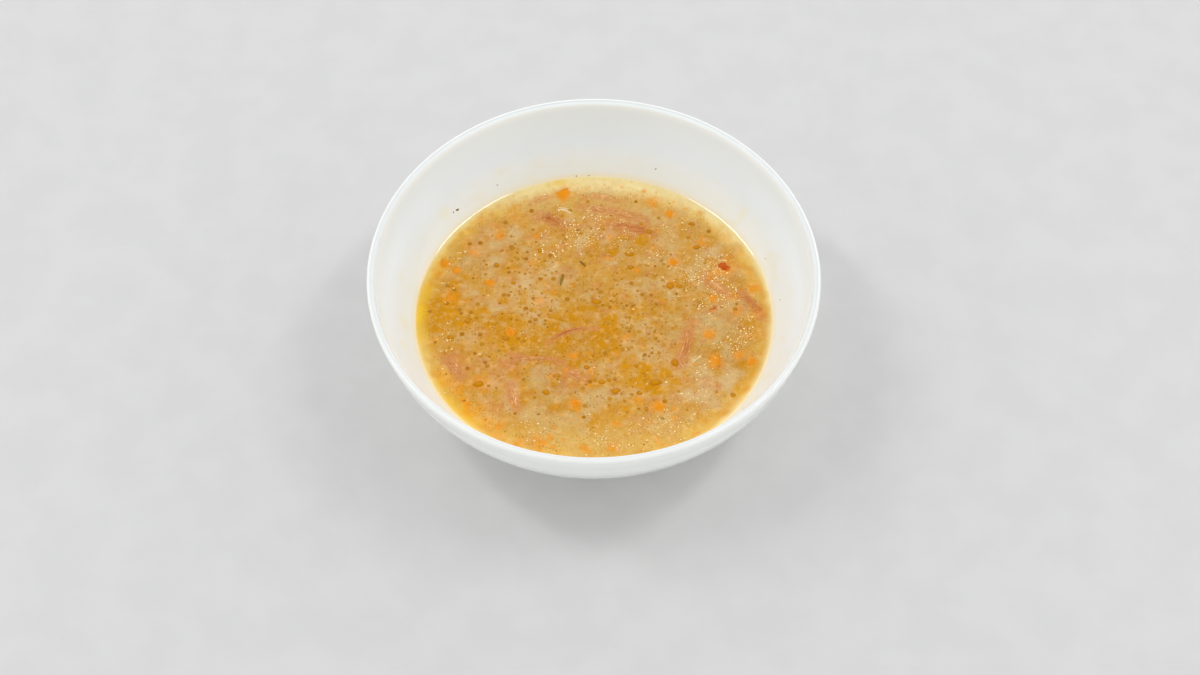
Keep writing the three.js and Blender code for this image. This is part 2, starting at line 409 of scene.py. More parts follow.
class NodeSheet:
    """Adds nodes to one node tree and links them."""

    def __init__(self, tree: NodeTree) -> None:
        """Start on an empty tree."""
        self.tree = tree
        tree.nodes.clear()

    def add(
        self, kind: str, inputs: dict[str | int, object] | None = None, **settings: object,
    ) -> Node:
        """Add a node.

        Args:
            kind: Blender's name for the node.
            inputs: For each input, by name or number, a value or the output socket that feeds it.
            **settings: The node's own properties.

        Returns:
            The new node.
        """
        node = self.tree.nodes.new(kind)
        node.location.x = 180 * len(self.tree.nodes)
        for key, value in settings.items():
            setattr(node, key, value)
        for key, value in (inputs or {}).items():
            if isinstance(value, NodeSocket):
                self.tree.links.new(value, node.inputs[key])
            else:
                node.inputs[key].default_value = value
        return node

    def mix(self, share: object, first: object, second: object, blend: str = "MIX") -> NodeSocket:
        """Mix two colours.

        Args:
            share: Share of the second colour, a value or a socket.
            first: The colour at share 0, a value or a socket.
            second: The colour at share 1, a value or a socket.
            blend: How the two are combined.

        Returns:
            The mixed colour's socket.
        """
        node = self.add("ShaderNodeMix", {0: share, 6: first, 7: second}, data_type="RGBA", blend_type=blend)
        return node.outputs[2]

    def layers(self, colour: object, *coats: tuple[object, object]) -> object:
        """Lay coats over a colour, one after the other, each given as its share and its own colour."""
        for share, coat in coats:
            colour = self.mix(share, colour, coat)
        return colour

    def math(self, operation: str, first: object, second: object = 0.0) -> NodeSocket:
        """Combine two numbers and return the result's socket."""
        return self.add("ShaderNodeMath", {0: first, 1: second}, operation=operation).outputs[0]

    def times(self, product: object, *factors: object) -> object:
        """Multiply numbers and return the product's socket."""
        for factor in factors:
            product = self.math("MULTIPLY", product, factor)
        return product

    def between(
        self, value: object, low: float, high: float, to_low: float = 0.0, to_high: float = 1.0,
    ) -> NodeSocket:
        """Map a value softly from one range to another.

        Args:
            value: The value's socket.
            low: Where the range starts.
            high: Where the range ends.
            to_low: The result at low.
            to_high: The result at high.

        Returns:
            The mapped value's socket.
        """
        ends = {0: value, 1: low, 2: high, 3: to_low, 4: to_high}
        return self.add("ShaderNodeMapRange", ends, interpolation_type="SMOOTHSTEP").outputs[0]

    def place(self) -> NodeSocket:
        """The place on the object itself, in metres."""
        return self.add("ShaderNodeTexCoord").outputs["Object"]

    def axes(self, vector: object) -> Sequence[NodeSocket]:
        """The X, Y and Z of a vector."""
        return self.add("ShaderNodeSeparateXYZ", {0: vector}).outputs

    def noise(self, scale: object, detail: float = 2.0) -> NodeSocket:
        """Noise on the object, with so many swells per metre and so many finer layers."""
        inputs = {"Vector": self.place(), "Scale": scale, "Detail": detail}
        return self.add("ShaderNodeTexNoise", inputs).outputs[0]

    def relief(self, height: object, distance: float, strength: object) -> NodeSocket:
        """The normals of a fine relief, up to a distance high."""
        inputs = {"Height": height, "Distance": distance, "Strength": strength}
        return self.add("ShaderNodeBump", inputs).outputs[0]

    def attribute(self, name: str, output: str = "Color") -> NodeSocket:
        """Read what store_float or store_colour kept on the piece."""
        return self.add("ShaderNodeAttribute", attribute_name=name).outputs[output]

    def shared(self, tree: NodeTree, inputs: dict[str, object]) -> NodeSocket:
        """Add a shared group and return its colour."""
        return self.add("ShaderNodeGroup", inputs, node_tree=tree).outputs["Colour"]


def new_material(name: str) -> tuple[Material, NodeSheet]:
    """An empty node material and its sheet."""
    material = bpy.data.materials.new(name)
    material.use_nodes = True
    return material, NodeSheet(material.node_tree)


def finish_surface(
    sheet: NodeSheet,
    colour: object,
    roughness: object,
    ior: float,
    shine: object = 0.5,
    relief: object = None,
) -> None:
    """Close a material with its Principled shader and output.

    Args:
        sheet: The material's sheet.
        colour: Base colour, a value or a socket.
        roughness: Roughness, a value or a socket.
        ior: Index of refraction.
        shine: Strength of the mirror reflection, a value or a socket.
        relief: The socket of the relief's normals, or None for a smooth surface.
    """
    inputs = {"Base Color": colour, "Roughness": roughness, "IOR": ior, "Specular IOR Level": shine}
    if relief is not None:
        inputs["Normal"] = relief
    shader = sheet.add("ShaderNodeBsdfPrincipled", inputs)
    sheet.add("ShaderNodeOutputMaterial", {"Surface": shader.outputs[0]})


def new_group(name: str, inputs: dict[str, object]) -> tuple[NodeSheet, Sequence[NodeSocket]]:
    """Start a shader node group that gives a colour.

    Args:
        name: The group's name.
        inputs: The default of each input, a colour or a number.

    Returns:
        The group's sheet and the sockets of its inputs.
    """
    tree = bpy.data.node_groups.new(name, "ShaderNodeTree")
    for label, value in inputs.items():
        kind = "NodeSocketColor" if isinstance(value, tuple) else "NodeSocketFloat"
        tree.interface.new_socket(label, in_out="INPUT", socket_type=kind).default_value = value
    tree.interface.new_socket("Colour", in_out="OUTPUT", socket_type="NodeSocketColor")
    sheet = NodeSheet(tree)
    return sheet, sheet.add("NodeGroupInput").outputs


# The bowl's and the soup's forms, as in the part


@dataclass(frozen=True)
class BowlForm:
    """The turned form of the bowl, worked out from its rim and height."""

    rim_radius: float
    height: float
    lip_width: float = 2.4 * MM
    lip_overhang: float = 0.5 * MM
    lip_blend: float = 7 * MM
    lip_inner_fall: float = 1.8 * MM
    inner_depth: float = 41 * MM
    inner_roundness: float = 0.68
    outer_roundness: float = 0.72
    foot_radius: float = 30 * MM
    foot_width: float = 4 * MM
    foot_recess: float = 3 * MM
    foot_edge: float = 0.6 * MM
    foot_blend: float = 1.6 * MM
    wall_steps: int = 48
    lip_steps: int = 12
    fillet_steps: int = 6
    segments: int = 288

    def inner_radius(self, height: float) -> float:
        """Radius of the inside at a height above the table."""
        drop = min(max((self.height - height) / self.inner_depth, 0.0), 1.0)
        return (self.rim_radius - self.lip_width) * (1 - drop * drop) ** (self.inner_roundness / 2)

    def wall(self, radius: float, depth: float, roundness: float, first: float, last: float) -> list[Point2]:
        """Points down a wall.

        Args:
            radius: The wall's radius in the rim plane.
            depth: How far its bottom lies below the rim plane.
            roundness: The power by which its radius falls.
            first: The turn at which the points start, 0 at the rim plane.
            last: The turn at which they end, a quarter turn at the bottom.

        Returns:
            Points of (radius, height).
        """
        turns = [first + (last - first) * step / self.wall_steps for step in range(self.wall_steps + 1)]
        return [
            (radius * max(math.cos(turn), 0.0) ** roundness, self.height - depth * math.sin(turn))
            for turn in turns
        ]

    def rounded(self, corner: Point2, before: Point2, after: Point2, size: float) -> list[Point2]:
        """Round off one corner of the profile by a small curve."""
        middle = Vector(corner)
        start = middle + (Vector(before) - middle).normalized() * size
        end = middle + (Vector(after) - middle).normalized() * size
        points = []
        for step in range(self.fillet_steps + 1):
            share = step / self.fillet_steps
            rest = 1 - share
            points.append(tuple(start * rest ** 2 + middle * 2 * share * rest + end * share ** 2))
        return points

    def profile(self) -> list[Point2]:
        """The whole section, from the inner floor over the lip and down to the middle of the underside."""
        lip = self.lip_width / 2
        inner = self.wall(self.rim_radius - self.lip_width, self.inner_depth, self.inner_roundness,
                          math.pi / 2, math.asin(self.lip_inner_fall / self.inner_depth))
        turns = [math.pi / 2 * step / self.lip_steps for step in range(1, self.lip_steps + 1)]
        arc = []
        for turn in turns:
            height = self.height - self.lip_inner_fall * (1 - math.sin(turn))
            arc.append((self.inner_radius(height) + lip * (1 - math.cos(turn)), height))
        for turn in turns:
            height = self.height - lip + lip * math.cos(turn)
            arc.append((self.rim_radius - lip + lip * math.sin(turn), height))
        outside = self.rim_radius - self.lip_overhang
        depth = self.height - self.foot_recess
        foot_turn = math.acos((self.foot_radius / outside) ** (1 / self.outer_roundness))
        under = []
        for step in range(1, self.lip_steps):
            share = step / self.lip_steps
            drop = lip + share * self.lip_blend
            wall = outside * math.cos(math.asin(drop / depth)) ** self.outer_roundness
            under.append((wall + self.lip_overhang * (1 - smooth_step(0, 1, share)), self.height - drop))
        first_turn = math.asin((lip + self.lip_blend) / depth)
        outer = self.wall(outside, depth, self.outer_roundness, first_turn, foot_turn)
        foot_top = outer[-1]
        foot_inside = self.foot_radius - self.foot_width
        ring = [
            (self.foot_radius, 0.0),
            (foot_inside, 0.0),
            (foot_inside - self.foot_edge, self.foot_recess),
            (0.0, self.foot_recess),
        ]
        outline = [foot_top, *ring]
        foot = self.rounded(foot_top, outer[-4], ring[0], self.foot_blend)
        for before, corner, after in zip(outline, outline[1:], outline[2:]):
            foot += self.rounded(corner, before, after, self.foot_edge)
        return [*inner, *arc, *under, *outer[:-3], *foot, ring[-1]]


@dataclass(frozen=True)
class SoupForm:
    """The soup's surface: level, and drawn up a little where it wets the bowl."""

    level: float = 21.2 * MM
    clearance: float = 0.3 * MM
    creep: float = 0.75 * MM
    creep_reach: float = 1.3 * MM
    swell: float = 0.1 * MM
    swell_cell: float = 6 * MM
    reach_into_wall: float = 0.25 * MM

    def solid_radius(self, bowl: BowlForm) -> float:
        """Radius of the part's solid soup at its level, which keeps clear of the bowl."""
        drop = (bowl.height - self.level) / (bowl.inner_depth - self.clearance)
        radius = bowl.rim_radius - bowl.lip_width - self.clearance
        return radius * (1 - drop * drop) ** (bowl.inner_roundness / 2)

    def edge(self, bowl: BowlForm) -> float:
        """Radius at which the drawn-up rim of the surface ends on the bowl."""
        return bowl.inner_radius(self.level + self.creep)

    def height(self, at: Places, edge: float) -> np.ndarray:
        """Height of the surface.

        Args:
            at: The places.
            edge: Radius at which the surface ends on the bowl.

        Returns:
            Heights above the table.
        """
        inward = np.maximum(edge - at.away(0, 0), -self.reach_into_wall)
        swells = (at.cloud(self.swell_cell, 3) - 0.5) * self.swell
        return self.level + self.creep * np.exp(-inward / self.creep_reach) + swells


VEAL_SHREDS = (
    Strand((-4.6, 47.6), (18.0, 41.4), 0.6, 3.2, 0.15),
    Strand((5.6, 39.8), (20.8, 35.4), 0.4, 3.2, 0.8),
    Strand((-3.4, 51.6), (7.6, 50.2), 1.2, 2.6, 0.0),
    Strand((-19.0, 43.9), (-10.4, 39.3), 0.4, 4.0, 0.8),
    Strand((-22.0, 49.4), (-15.0, 52.4), 0.3, 1.6, 0.0),
    Strand((50.4, 9.6), (57.0, -1.2), 1.0, 2.6, 0.9),
    Strand((38.7, 15.3), (46.2, 8.6), 0.4, 2.4, 0.0),
    Strand((38.8, 1.8), (42.8, 5.0), -0.2, 1.2, 1.0),
    Strand((33.2, -2.5), (28.7, -20.3), 0.2, 3.0, 0.5),
    Strand((-15.6, -11.2), (0.7, -5.3), 2.2, 1.4, 0.9),
    Strand((-30.5, -19.6), (-10.4, -19.2), 2.3, 1.6, 0.5),
    Strand((-8.9, -22.5), (-3.9, -26.1), 0.3, 3.2, 0.4),
    Strand((-28.4, -28.0), (-25.8, -38.0), 0.6, 2.4, 0.25),
    Strand((-49.4, -17.2), (-44.8, -24.6), 0.5, 3.6, 0.35),
)
ONION_STRIPS = (
    Strand((-13.6, 47.0), (-6.4, 44.4), 0.6, 2.0, 0.1),
    Strand((32.2, -20.0), (37.0, -15.6), 0.4, 1.6, 0.9),
)
CARROT_PIECES = (
    CarrotPiece((-10.6, 53.2), 5.0, 1.0),
    CarrotPiece((20.7, 49.5), 4.4, 0.3),
    CarrotPiece((26.8, 44.2), 3.6, 0.6),
    CarrotPiece((-32.9, 34.8), 3.2),
    CarrotPiece((27.4, 22.9), 3.2, 1.0),
    CarrotPiece((-51.6, 22.6), 3.6, 0.9),
    CarrotPiece((-47.6, 19.6), 2.8, 0.9),
    CarrotPiece((-35.8, 14.3), 2.7, 0.9),
    CarrotPiece((54.5, 11.3), 3.0),
    CarrotPiece((41.1, 7.2), 3.2),
    CarrotPiece((-49.5, 8.0), 4.4),
    CarrotPiece((-28.3, -6.5), 3.0, 0.9),
    CarrotPiece((39.0, -7.6), 4.4, 0.5),
    CarrotPiece((-7.0, -16.4), 3.0, 0.6),
    CarrotPiece((48.8, -16.0), 4.0),
    CarrotPiece((52.8, -19.0), 3.4),
    CarrotPiece((40.6, -18.8), 4.4, 0.7),
    CarrotPiece((-37.7, -27.3), 5.0, 0.3),
    CarrotPiece((-6.2, -35.7), 3.3, 1.0),
    CarrotPiece((21.5, -37.0), 4.0, 0.7),
)
PEPPER = Bit((45.0, 21.0), (4.0, 3.2, 1.4), -0.4, 1.0)
DILL_LEAVES = (Bit((-11.0, 15.7), (5.6, 1.2, 0.8), 1.4), Bit((-4.0, 22.5), (4.0, 0.9, 0.7), -0.9))

GOLD_PATCHES = patches(
    (-6, -7, 8, 0.6), (-6, -18, 7, 0.6), (42, 18, 6, 0.4), (54, -6, 6, 0.3), (-12, -42, 7, 0.3),
    (-15, -10, 8, 0.9), (8, 31, 5, 0.6), (-24, -40, 6, 0.7), (50, -16, 6, 0.6), (-56, 8, 6, 0.9),
    (-13, -10, 5, 0.4), (-46, 23, 6, 0.5), (-24, 18, 5, 0.3), (-8, -17, 5, 0.5), (24, -8, 4, 0.5),
    (-32, -2, 6, 0.4), (-55, 6, 10, 1.0), (-48, 2, 8, 1.0), (-8, -12, 9, 1.0), (-4, -19, 6, 0.9),
    (3, -4, 10, 0.55), (-28, -4, 7, 0.6), (20, -24, 8, 0.65), (4, -42, 8, 0.6), (14, -2, 8, 0.3),
    (9, -23, 9, 0.45), (19, -28, 4, 1.0), (-4, -54, 8, 0.9), (-43, -39, 6, 0.4), (18, 34, 4, 0.9),
    (-17, 36, 4, 0.8), (53, -20, 5, 0.7), (16, -50, 6, 0.4), (-29, -48, 6, 0.3), (-32, 0, 7, 0.6),
    (-36, 24, 6, 0.3), (48, -32, 4, 0.6), (4, 28, 5, 0.5), (-41, -37, 5, 0.7), (-10, -32, 5, 0.6),
    (-25, -10, 7, 0.5), (38, 46, 5, 0.5), (24, 50, 4, 0.5),
)
GOLD_EDGES = patches(
    (-58, 0, 15), (-46, -38, 12, 0.7), (-12, 58, 5, 0.6),
)
DULL_EDGES = patches(
    (60, -14, 20), (46, -40, 16, 0.8), (58, 20, 8, 0.4), (-58, -22, 10, 0.4),
)
LIGHT_EDGES = patches(
    (42, 42, 9, 0.8), (50, 34, 8, 0.9), (-30, -52, 7, 0.5), (58, 18, 5, 0.4), (-57, -14, 8, 0.7),
)
DEEP_PATCHES = patches(
    (26, 2, 16, 0.6), (-8, -10, 14, 1.0), (-8, 16, 7, 0.9), (16, 16, 7, 0.9), (8, 30, 7, 0.9),
    (0, 8, 6, 0.7), (42, -7, 10, 1.0), (48, -16, 8, 1.0), (48, 16, 8, 0.9), (-16, -24, 8, 1.0),
    (-14, -38, 9, 0.9), (0, -32, 6, 0.7), (0, -48, 7, 0.7), (-32, 0, 6, 0.6), (24, -8, 6, 0.6),
    (8, -10, 7, 0.6), (40, -14, 7, 0.8), (-38, 24, 8, 0.5), (-48, 24, 6, 0.5), (-32, 32, 6, 0.5),
)
PALE_PATCHES = patches(
    (-18, 7, 7, 0.5), (17, -14, 6, 0.6), (38, -32, 8, 0.8), (0, -36, 7, 0.7), (44, -16, 8, 0.7),
    (-37, 28, 9, 0.4), (39, -3, 5), (-5, -44, 10, 0.5), (23, 28, 7, 0.7), (-30, 32, 8, 0.4),
    (-24, 8, 7, 1.0), (30, 46, 9, 0.7), (-28, -32, 7, 0.9), (24, -22, 5, 0.7), (9, -16, 5, 0.9),
    (24, 8, 6, 0.7), (16, -7, 5, 0.6), (32, -24, 5, 0.6), (-7, -33, 5, 0.5), (0, 40, 6, 0.6),
    (-28, 12, 6, 0.5), (-19, 4, 6, 0.8), (45, 27, 6, 0.6), (-16, -26, 6, 0.8), (8, 36, 6, 0.8),
    (-20, 16, 7, 0.6), (5, 54, 8, 0.7),
)
BLUSH_PATCHES = patches(
    (6, 43, 12, 0.75), (14, 38, 5, 0.7), (-16, 42, 6, 0.8), (43, 13, 6, 0.6), (55, 2, 5, 0.6),
    (31, -14, 6, 0.6), (-29, -22, 10, 0.7), (-46, -21, 7, 0.7), (-7, -26, 5, 0.7), (-27, -34, 7, 0.6),
    (20, 7, 7, 0.5), (0, 30, 8, 0.4), (-41, 38, 7, 0.6), (17, -44, 12, 0.5), (45, -26, 8, 0.4),
)
CARROT_PATCHES = patches(
    (-42.5, -35.6, 2.2), (-17.5, -50.6, 2.2), (-23.7, -52.5, 2.0), (-3, -53, 1.8), (6, -53, 1.6),
    (-35, 38, 4, 0.35), (-27, 43, 3, 0.4), (-42, 30, 4, 0.35), (-31, -43, 1.8, 0.7), (46.6, 8.0, 1.6, 0.8),
    (48.9, 2.4, 1.6, 0.8), (43.4, 18.6, 3.0, 1.0), (45.5, 21.5, 4.5, 0.5), (54, 13, 3.5, 0.5),
    (-39, -39, 4, 0.6), (-46, -29, 3, 0.5), (-34, -45, 4, 0.4), (54, -8, 3, 0.5), (56.4, 0.4, 2.4, 0.5),
)
# Where the froth of tiny bubbles crowds; its pale colour is partly the bubbles' own and partly painted
# glints.
GLINT_PATCHES = patches(
    (0, 44, 6), (7, 38, 6), (18, 32, 5), (-5, 32, 5), (29, 26, 8, 0.9), (43, 16, 7), (-13, 36, 6),
    (23, 36, 5, 0.8), (24, 30, 6, 0.8), (-14, 47, 4, 0.6), (-12, 28, 5, 0.5), (37, 19, 8, 0.8),
    (38, 10, 7, 0.8), (46, 6, 6), (48, -10, 5), (36, -24, 7, 0.6), (34, -34, 6, 0.5), (17, -46, 6, 0.6),
    (3, -51, 5), (-36, 41, 3, 0.5), (-49, 25, 3), (-50, -9, 3), (-52, 13, 2), (-21, -45, 3), (-8, 37, 3),
    (26, -44, 5), (52, -4, 4), (12, 35, 4),
)
BEAD_PATCHES = patches(
    (-10, 10, 22, 0.5), (10, 12, 18, 0.8), (-25, 20, 16, 0.6), (-30, 0, 18, 0.6), (0, -12, 16, 0.9),
    (18, -10, 14, 1.0), (12, -28, 12, 0.8), (-12, 34, 10, 1.0), (30, 10, 14, 0.5), (-20, -12, 14, 0.7),
    (-45, 0, 12, 0.6),
)


# The broth's colours


class BrothTone(Enum):
    """Colours seen in the broth."""

    TAN = linear(213, 158, 66)
    PALE = linear(220, 184, 126)
    GOLD = linear(214, 146, 0)
    BLUSH = linear(213, 142, 80)
    DROPLET = linear(194, 132, 8)
    CARROT = linear(244, 152, 14)
    # Lighter at the near and far ends: partly shallow soup over the white bowl, partly painted light.
    LIGHT = linear(228, 185, 99)
    SHALLOW = linear(255, 208, 98)
    CREAM = linear(255, 236, 174)
    EDGE = linear(255, 228, 152)
    EDGE_GOLD = linear(255, 206, 40)
    # Pale waterline: partly the thin film over the white bowl, partly a painted highlight on the meniscus.
    FILM_AND_HIGHLIGHT = linear(255, 243, 206)


@dataclass(frozen=True)
class Stain:
    """One kind of stain: its patches, and noise above a threshold that strews more of it between them."""

    tone: BrothTone
    patches: tuple[Patch, ...]
    strength: float
    seed: int
    strewn: float
    cell: float
    threshold: float

    def share(self, at: Places) -> np.ndarray:
        """How strongly it tints each place."""
        strewn = self.strewn * (at.cloud(self.cell, self.seed + 10) - self.threshold)
        return self.strength * at.cover(self.patches, self.seed) + strewn


STAINS = (
    Stain(BrothTone.PALE, PALE_PATCHES, 0.9, 11, strewn=1.6, cell=4.6 * MM, threshold=0.42),
    Stain(BrothTone.BLUSH, BLUSH_PATCHES, 0.8, 13, strewn=1.3, cell=2.6 * MM, threshold=0.55),
    Stain(BrothTone.GOLD, GOLD_PATCHES, 1.15, 15, strewn=1.9, cell=3.4 * MM, threshold=0.64),
)


@dataclass(frozen=True)
class BrothPaint:
    """Works out the broth's colour anywhere, from what floats there and how its oil has pooled, and paints
    light at its ends and a highlight at the waterline.
    """

    edge: float
    carrots: tuple[Bit, ...]
    # What the deep patches take from red, green and blue.
    deep_loss: tuple[float, float, float] = (0.1, 0.12, 0.25)

    def tone(self, at: Places) -> np.ndarray:
        """Linear colours of the broth at places, one row each."""
        colour = np.repeat(np.array(BrothTone.TAN.value[:3])[None, :], len(at.x), axis=0)

        def lay(tone: BrothTone, share: np.ndarray) -> None:
            """Lay one tone over the colour so far."""
            colour[:] += (np.array(tone.value[:3]) - colour) * np.clip(share, 0, 1)[:, None]

        def fade(reach: float, away: np.ndarray, start: float = 0.0) -> np.ndarray:
            """A share that fades from 1 to 0 between two distances, in millimetres."""
            return 1 - smooth_step(start * MM, reach * MM, away)

        inward = self.edge - at.away(0, 0)
        from_wall = inward + (at.cloud(3 * MM, 29) - 0.5) * 1.6 * MM
        golden = at.cover(GOLD_EDGES, 19)
        far = smooth_step(0.52, 0.96, (at.y + 0.06 * at.x) / self.edge)
        ends = smooth_step(0.55, 0.92, np.abs(at.y) / self.edge)
        for stain in STAINS:
            lay(stain.tone, stain.share(at))
        lay(BrothTone.GOLD, 0.8 * golden)
        lay(BrothTone.PALE, 0.5 * at.spots(2.6 * MM, 0.5 * MM, 1.3 * MM, 35))
        colour *= 1 - at.cover(DEEP_PATCHES, 47)[:, None] * np.array(self.deep_loss)

        shallow = fade(9, from_wall + (at.cloud(5 * MM, 55) - 0.5) * 4 * MM, 1.5)
        bright = (1 - 0.75 * golden) * (1 - 0.6 * at.cover(DULL_EDGES, 49))
        blotch = shallow * smooth_step(0.5 * MM, 2.5 * MM, inward)
        cream = far * (1 - smooth_step(-1 * MM, (6 + 6.5 * far ** 3) * MM, from_wall))
        cream += 0.55 * at.cover(LIGHT_EDGES, 57) * fade(6, from_wall, 0.2)
        lay(BrothTone.SHALLOW, 0.9 * shallow * bright)
        # Lighter towards the near and far ends: partly shallow soup, partly painted light.
        lay(BrothTone.LIGHT, 0.75 * ends * (0.6 + 0.8 * at.cloud(5 * MM, 45)))
        lay(BrothTone.TAN, 0.55 * blotch * smooth_step(0.4, 0.8, at.cloud(2 * MM, 51)))
        lay(BrothTone.CARROT, 0.45 * blotch * smooth_step(0.5, 0.9, at.cloud(3 * MM, 53)))
        lay(BrothTone.CREAM, cream * (0.75 + 0.5 * at.cloud(1.8 * MM, 59)))

        crowd = (0.25 + 0.75 * at.cover(BEAD_PATCHES, 17)) * (1 - 0.6 * shallow)
        lay(BrothTone.BLUSH, (0.8 - 0.4 * far) * at.near_strands(VEAL_SHREDS))
        lay(BrothTone.GOLD, 0.6 * crowd * at.spots(3.2 * MM, 0.6 * MM, 1.8 * MM, 37))
        lay(BrothTone.DROPLET, 0.7 * crowd * at.spots(3.0 * MM, 0.5 * MM, 1.4 * MM, 39))
        lay(BrothTone.CARROT, 0.6 * at.spots(5.5 * MM, 0.5 * MM, 1.2 * MM, 41))
        lay(BrothTone.CARROT, at.near_bits(self.carrots))
        lay(BrothTone.CARROT, 0.8 * at.cover(CARROT_PATCHES, 43))
        lay(BrothTone.EDGE, fade(2.8, from_wall) * (1 - golden) * (1 - 0.4 * far) * (0.4 + 0.6 * bright))
        lay(BrothTone.EDGE_GOLD, golden * fade(5.5, from_wall, 0.6))
        # Pale waterline, partly thin film and partly a painted highlight on the meniscus.
        lay(BrothTone.FILM_AND_HIGHLIGHT, 0.7 * fade(0.8, inward))
        return colour


# Shared shader groups


def broth_veil_group(level: float) -> NodeTree:
    """Broth clings to what floats in it: a piece has its own colour on top and the broth's at the waterline.

    Args:
        level: The soup's level.

    Returns:
        The group, with the piece's colour and its bare height as inputs.
    """
    sheet, given = new_group("Broth veil", {"Piece colour": GREY, "Bare height": 0.4 * MM})
    above = sheet.math("SUBTRACT", sheet.axes(sheet.place())["Z"], level - 0.05 * MM)
    share = sheet.math("DIVIDE", above, given["Bare height"])
    drift = sheet.between(sheet.noise(900.0), 0.3, 0.7, -0.25, 0.25)
    bare = sheet.between(sheet.math("ADD", share, drift), 0.0, 1.0)
    sheet.add("NodeGroupOutput", {"Colour": sheet.mix(bare, sheet.attribute("tone"), given["Piece colour"])})
    return sheet.tree


def mottle_group() -> NodeTree:
    """Uneven colour, which food and glaze both have."""
    sheet, given = new_group("Mottle", {"Colour": GREY, "Other colour": GREY, "Scale": 500.0, "Amount": 0.5})
    share = sheet.times(sheet.between(sheet.noise(given["Scale"], 4.0), 0.35, 0.65), given["Amount"])
    sheet.add("NodeGroupOutput", {"Colour": sheet.mix(share, given["Colour"], given["Other colour"])})
    return sheet.tree


# Finishes


@dataclass(frozen=True)
class GlazeFinish:
    """White glaze over porcelain, bare and matt under the foot, with dried soup above the level and painted
    light and shade.
    """

    level: float
    rim: float
    # Inside grain colours: painted cooler than the outside glaze, to cancel the warm light that the soup
    # bounces onto the wall.
    white: Colour = linear(239, 247, 250)
    shade: Colour = linear(236, 244, 247)
    # Painted cooler high on the inside wall, against the soup's warm bounce light.
    high: Colour = linear(239, 248, 251)
    # Painted shade on the upper side walls.
    side: Colour = linear(229, 238, 241)
    # Painted light on the far inside wall just under the rim.
    painted_skylight: Colour = linear(247, 255, 255)
    # Painted shade on the left and right of the lip.
    painted_lip_side_shade: Colour = linear(222, 224, 222)
    outer: Colour = linear(245, 247, 242)
    # Painted shade on the lip's crest.
    lip: Colour = linear(228, 231, 231)
    film: Colour = linear(250, 232, 190)
    warm: Colour = linear(243, 238, 222)
    stain: Colour = linear(242, 230, 184)
    bare: Colour = linear(222, 216, 203)
    peel: float = 0.04 * MM

    def build(self, mottle: NodeTree) -> Material:
        """Make the material."""
        material, sheet = new_material("white_glaze")
        place = sheet.axes(sheet.place())
        height = place["Z"]
        inside = sheet.attribute("inside", "Fac")

        def over_soup(low: float, high: float, *ends: float) -> NodeSocket:
            """A share that changes between two heights above the soup's level, in millimetres."""
            return sheet.between(height, self.level + low * MM, self.level + high * MM, *ends)

        def under_rim(low: float, high: float) -> NodeSocket:
            """A share that rises between two depths under the rim, in millimetres."""
            return sheet.between(height, self.rim - low * MM, self.rim - high * MM)

        grain = {"Colour": self.white, "Other colour": self.shade, "Scale": 40.0, "Amount": 0.8}
        # The upper inside wall, which takes the painted cooler colour and the painted side shade.
        upper = sheet.times(sheet.between(height, self.level + 10 * MM, self.rim - 6 * MM), inside)
        # Painted shade towards the left and right, on the upper wall and on the lip.
        side_shade_share = sheet.between(sheet.math("ABSOLUTE", place["X"]), 0.6 * self.rim, 1.5 * self.rim, 0.0, 0.8)
        # Towards the far side, where the painted light under the rim goes.
        far = sheet.between(place["Y"], 0.0, 1.2 * self.rim)
        blotch = sheet.between(sheet.noise(140.0, 5.0), 0.5, 0.72)
        # The lip's crest, where the shade is painted.
        crest = under_rim(2.6, 0.8)
        top = sheet.times(sheet.between(inside, 0.02, 0.3), sheet.between(inside, 0.6, 1.0, 1.0, 0.0))
        foot = sheet.between(height, 0.15 * MM, 0.4 * MM, 1.0, 0.0)
        colour = sheet.layers(
            self.outer,
            (inside, sheet.shared(mottle, grain)),
            (sheet.times(over_soup(0, 13, 0.8, 0.0), inside), self.warm),
            (upper, self.high),
            (sheet.times(upper, side_shade_share), self.side),
            (sheet.times(under_rim(4, 1), far, inside), self.painted_skylight),
            (sheet.times(over_soup(0.6, 2.4, 0.7, 0.0), inside), self.film),
            (sheet.times(over_soup(0, 1.5), over_soup(6, 10, 0.35, 0.0), blotch, inside), self.stain),
            (sheet.times(crest, top), self.lip),
            (sheet.times(crest, side_shade_share, 0.4), self.painted_lip_side_shade),
            (foot, self.bare),
        )
        gloss = sheet.between(foot, 0.0, 1.0, 0.09, 0.65)
        shine = sheet.math("SUBTRACT", 0.5, sheet.times(over_soup(2, 14, 0.0, 0.36), inside))
        peel = sheet.relief(sheet.noise(110.0, 1.0), self.peel, 0.5)
        finish_surface(sheet, colour, gloss, 1.5, shine, peel)
        return material


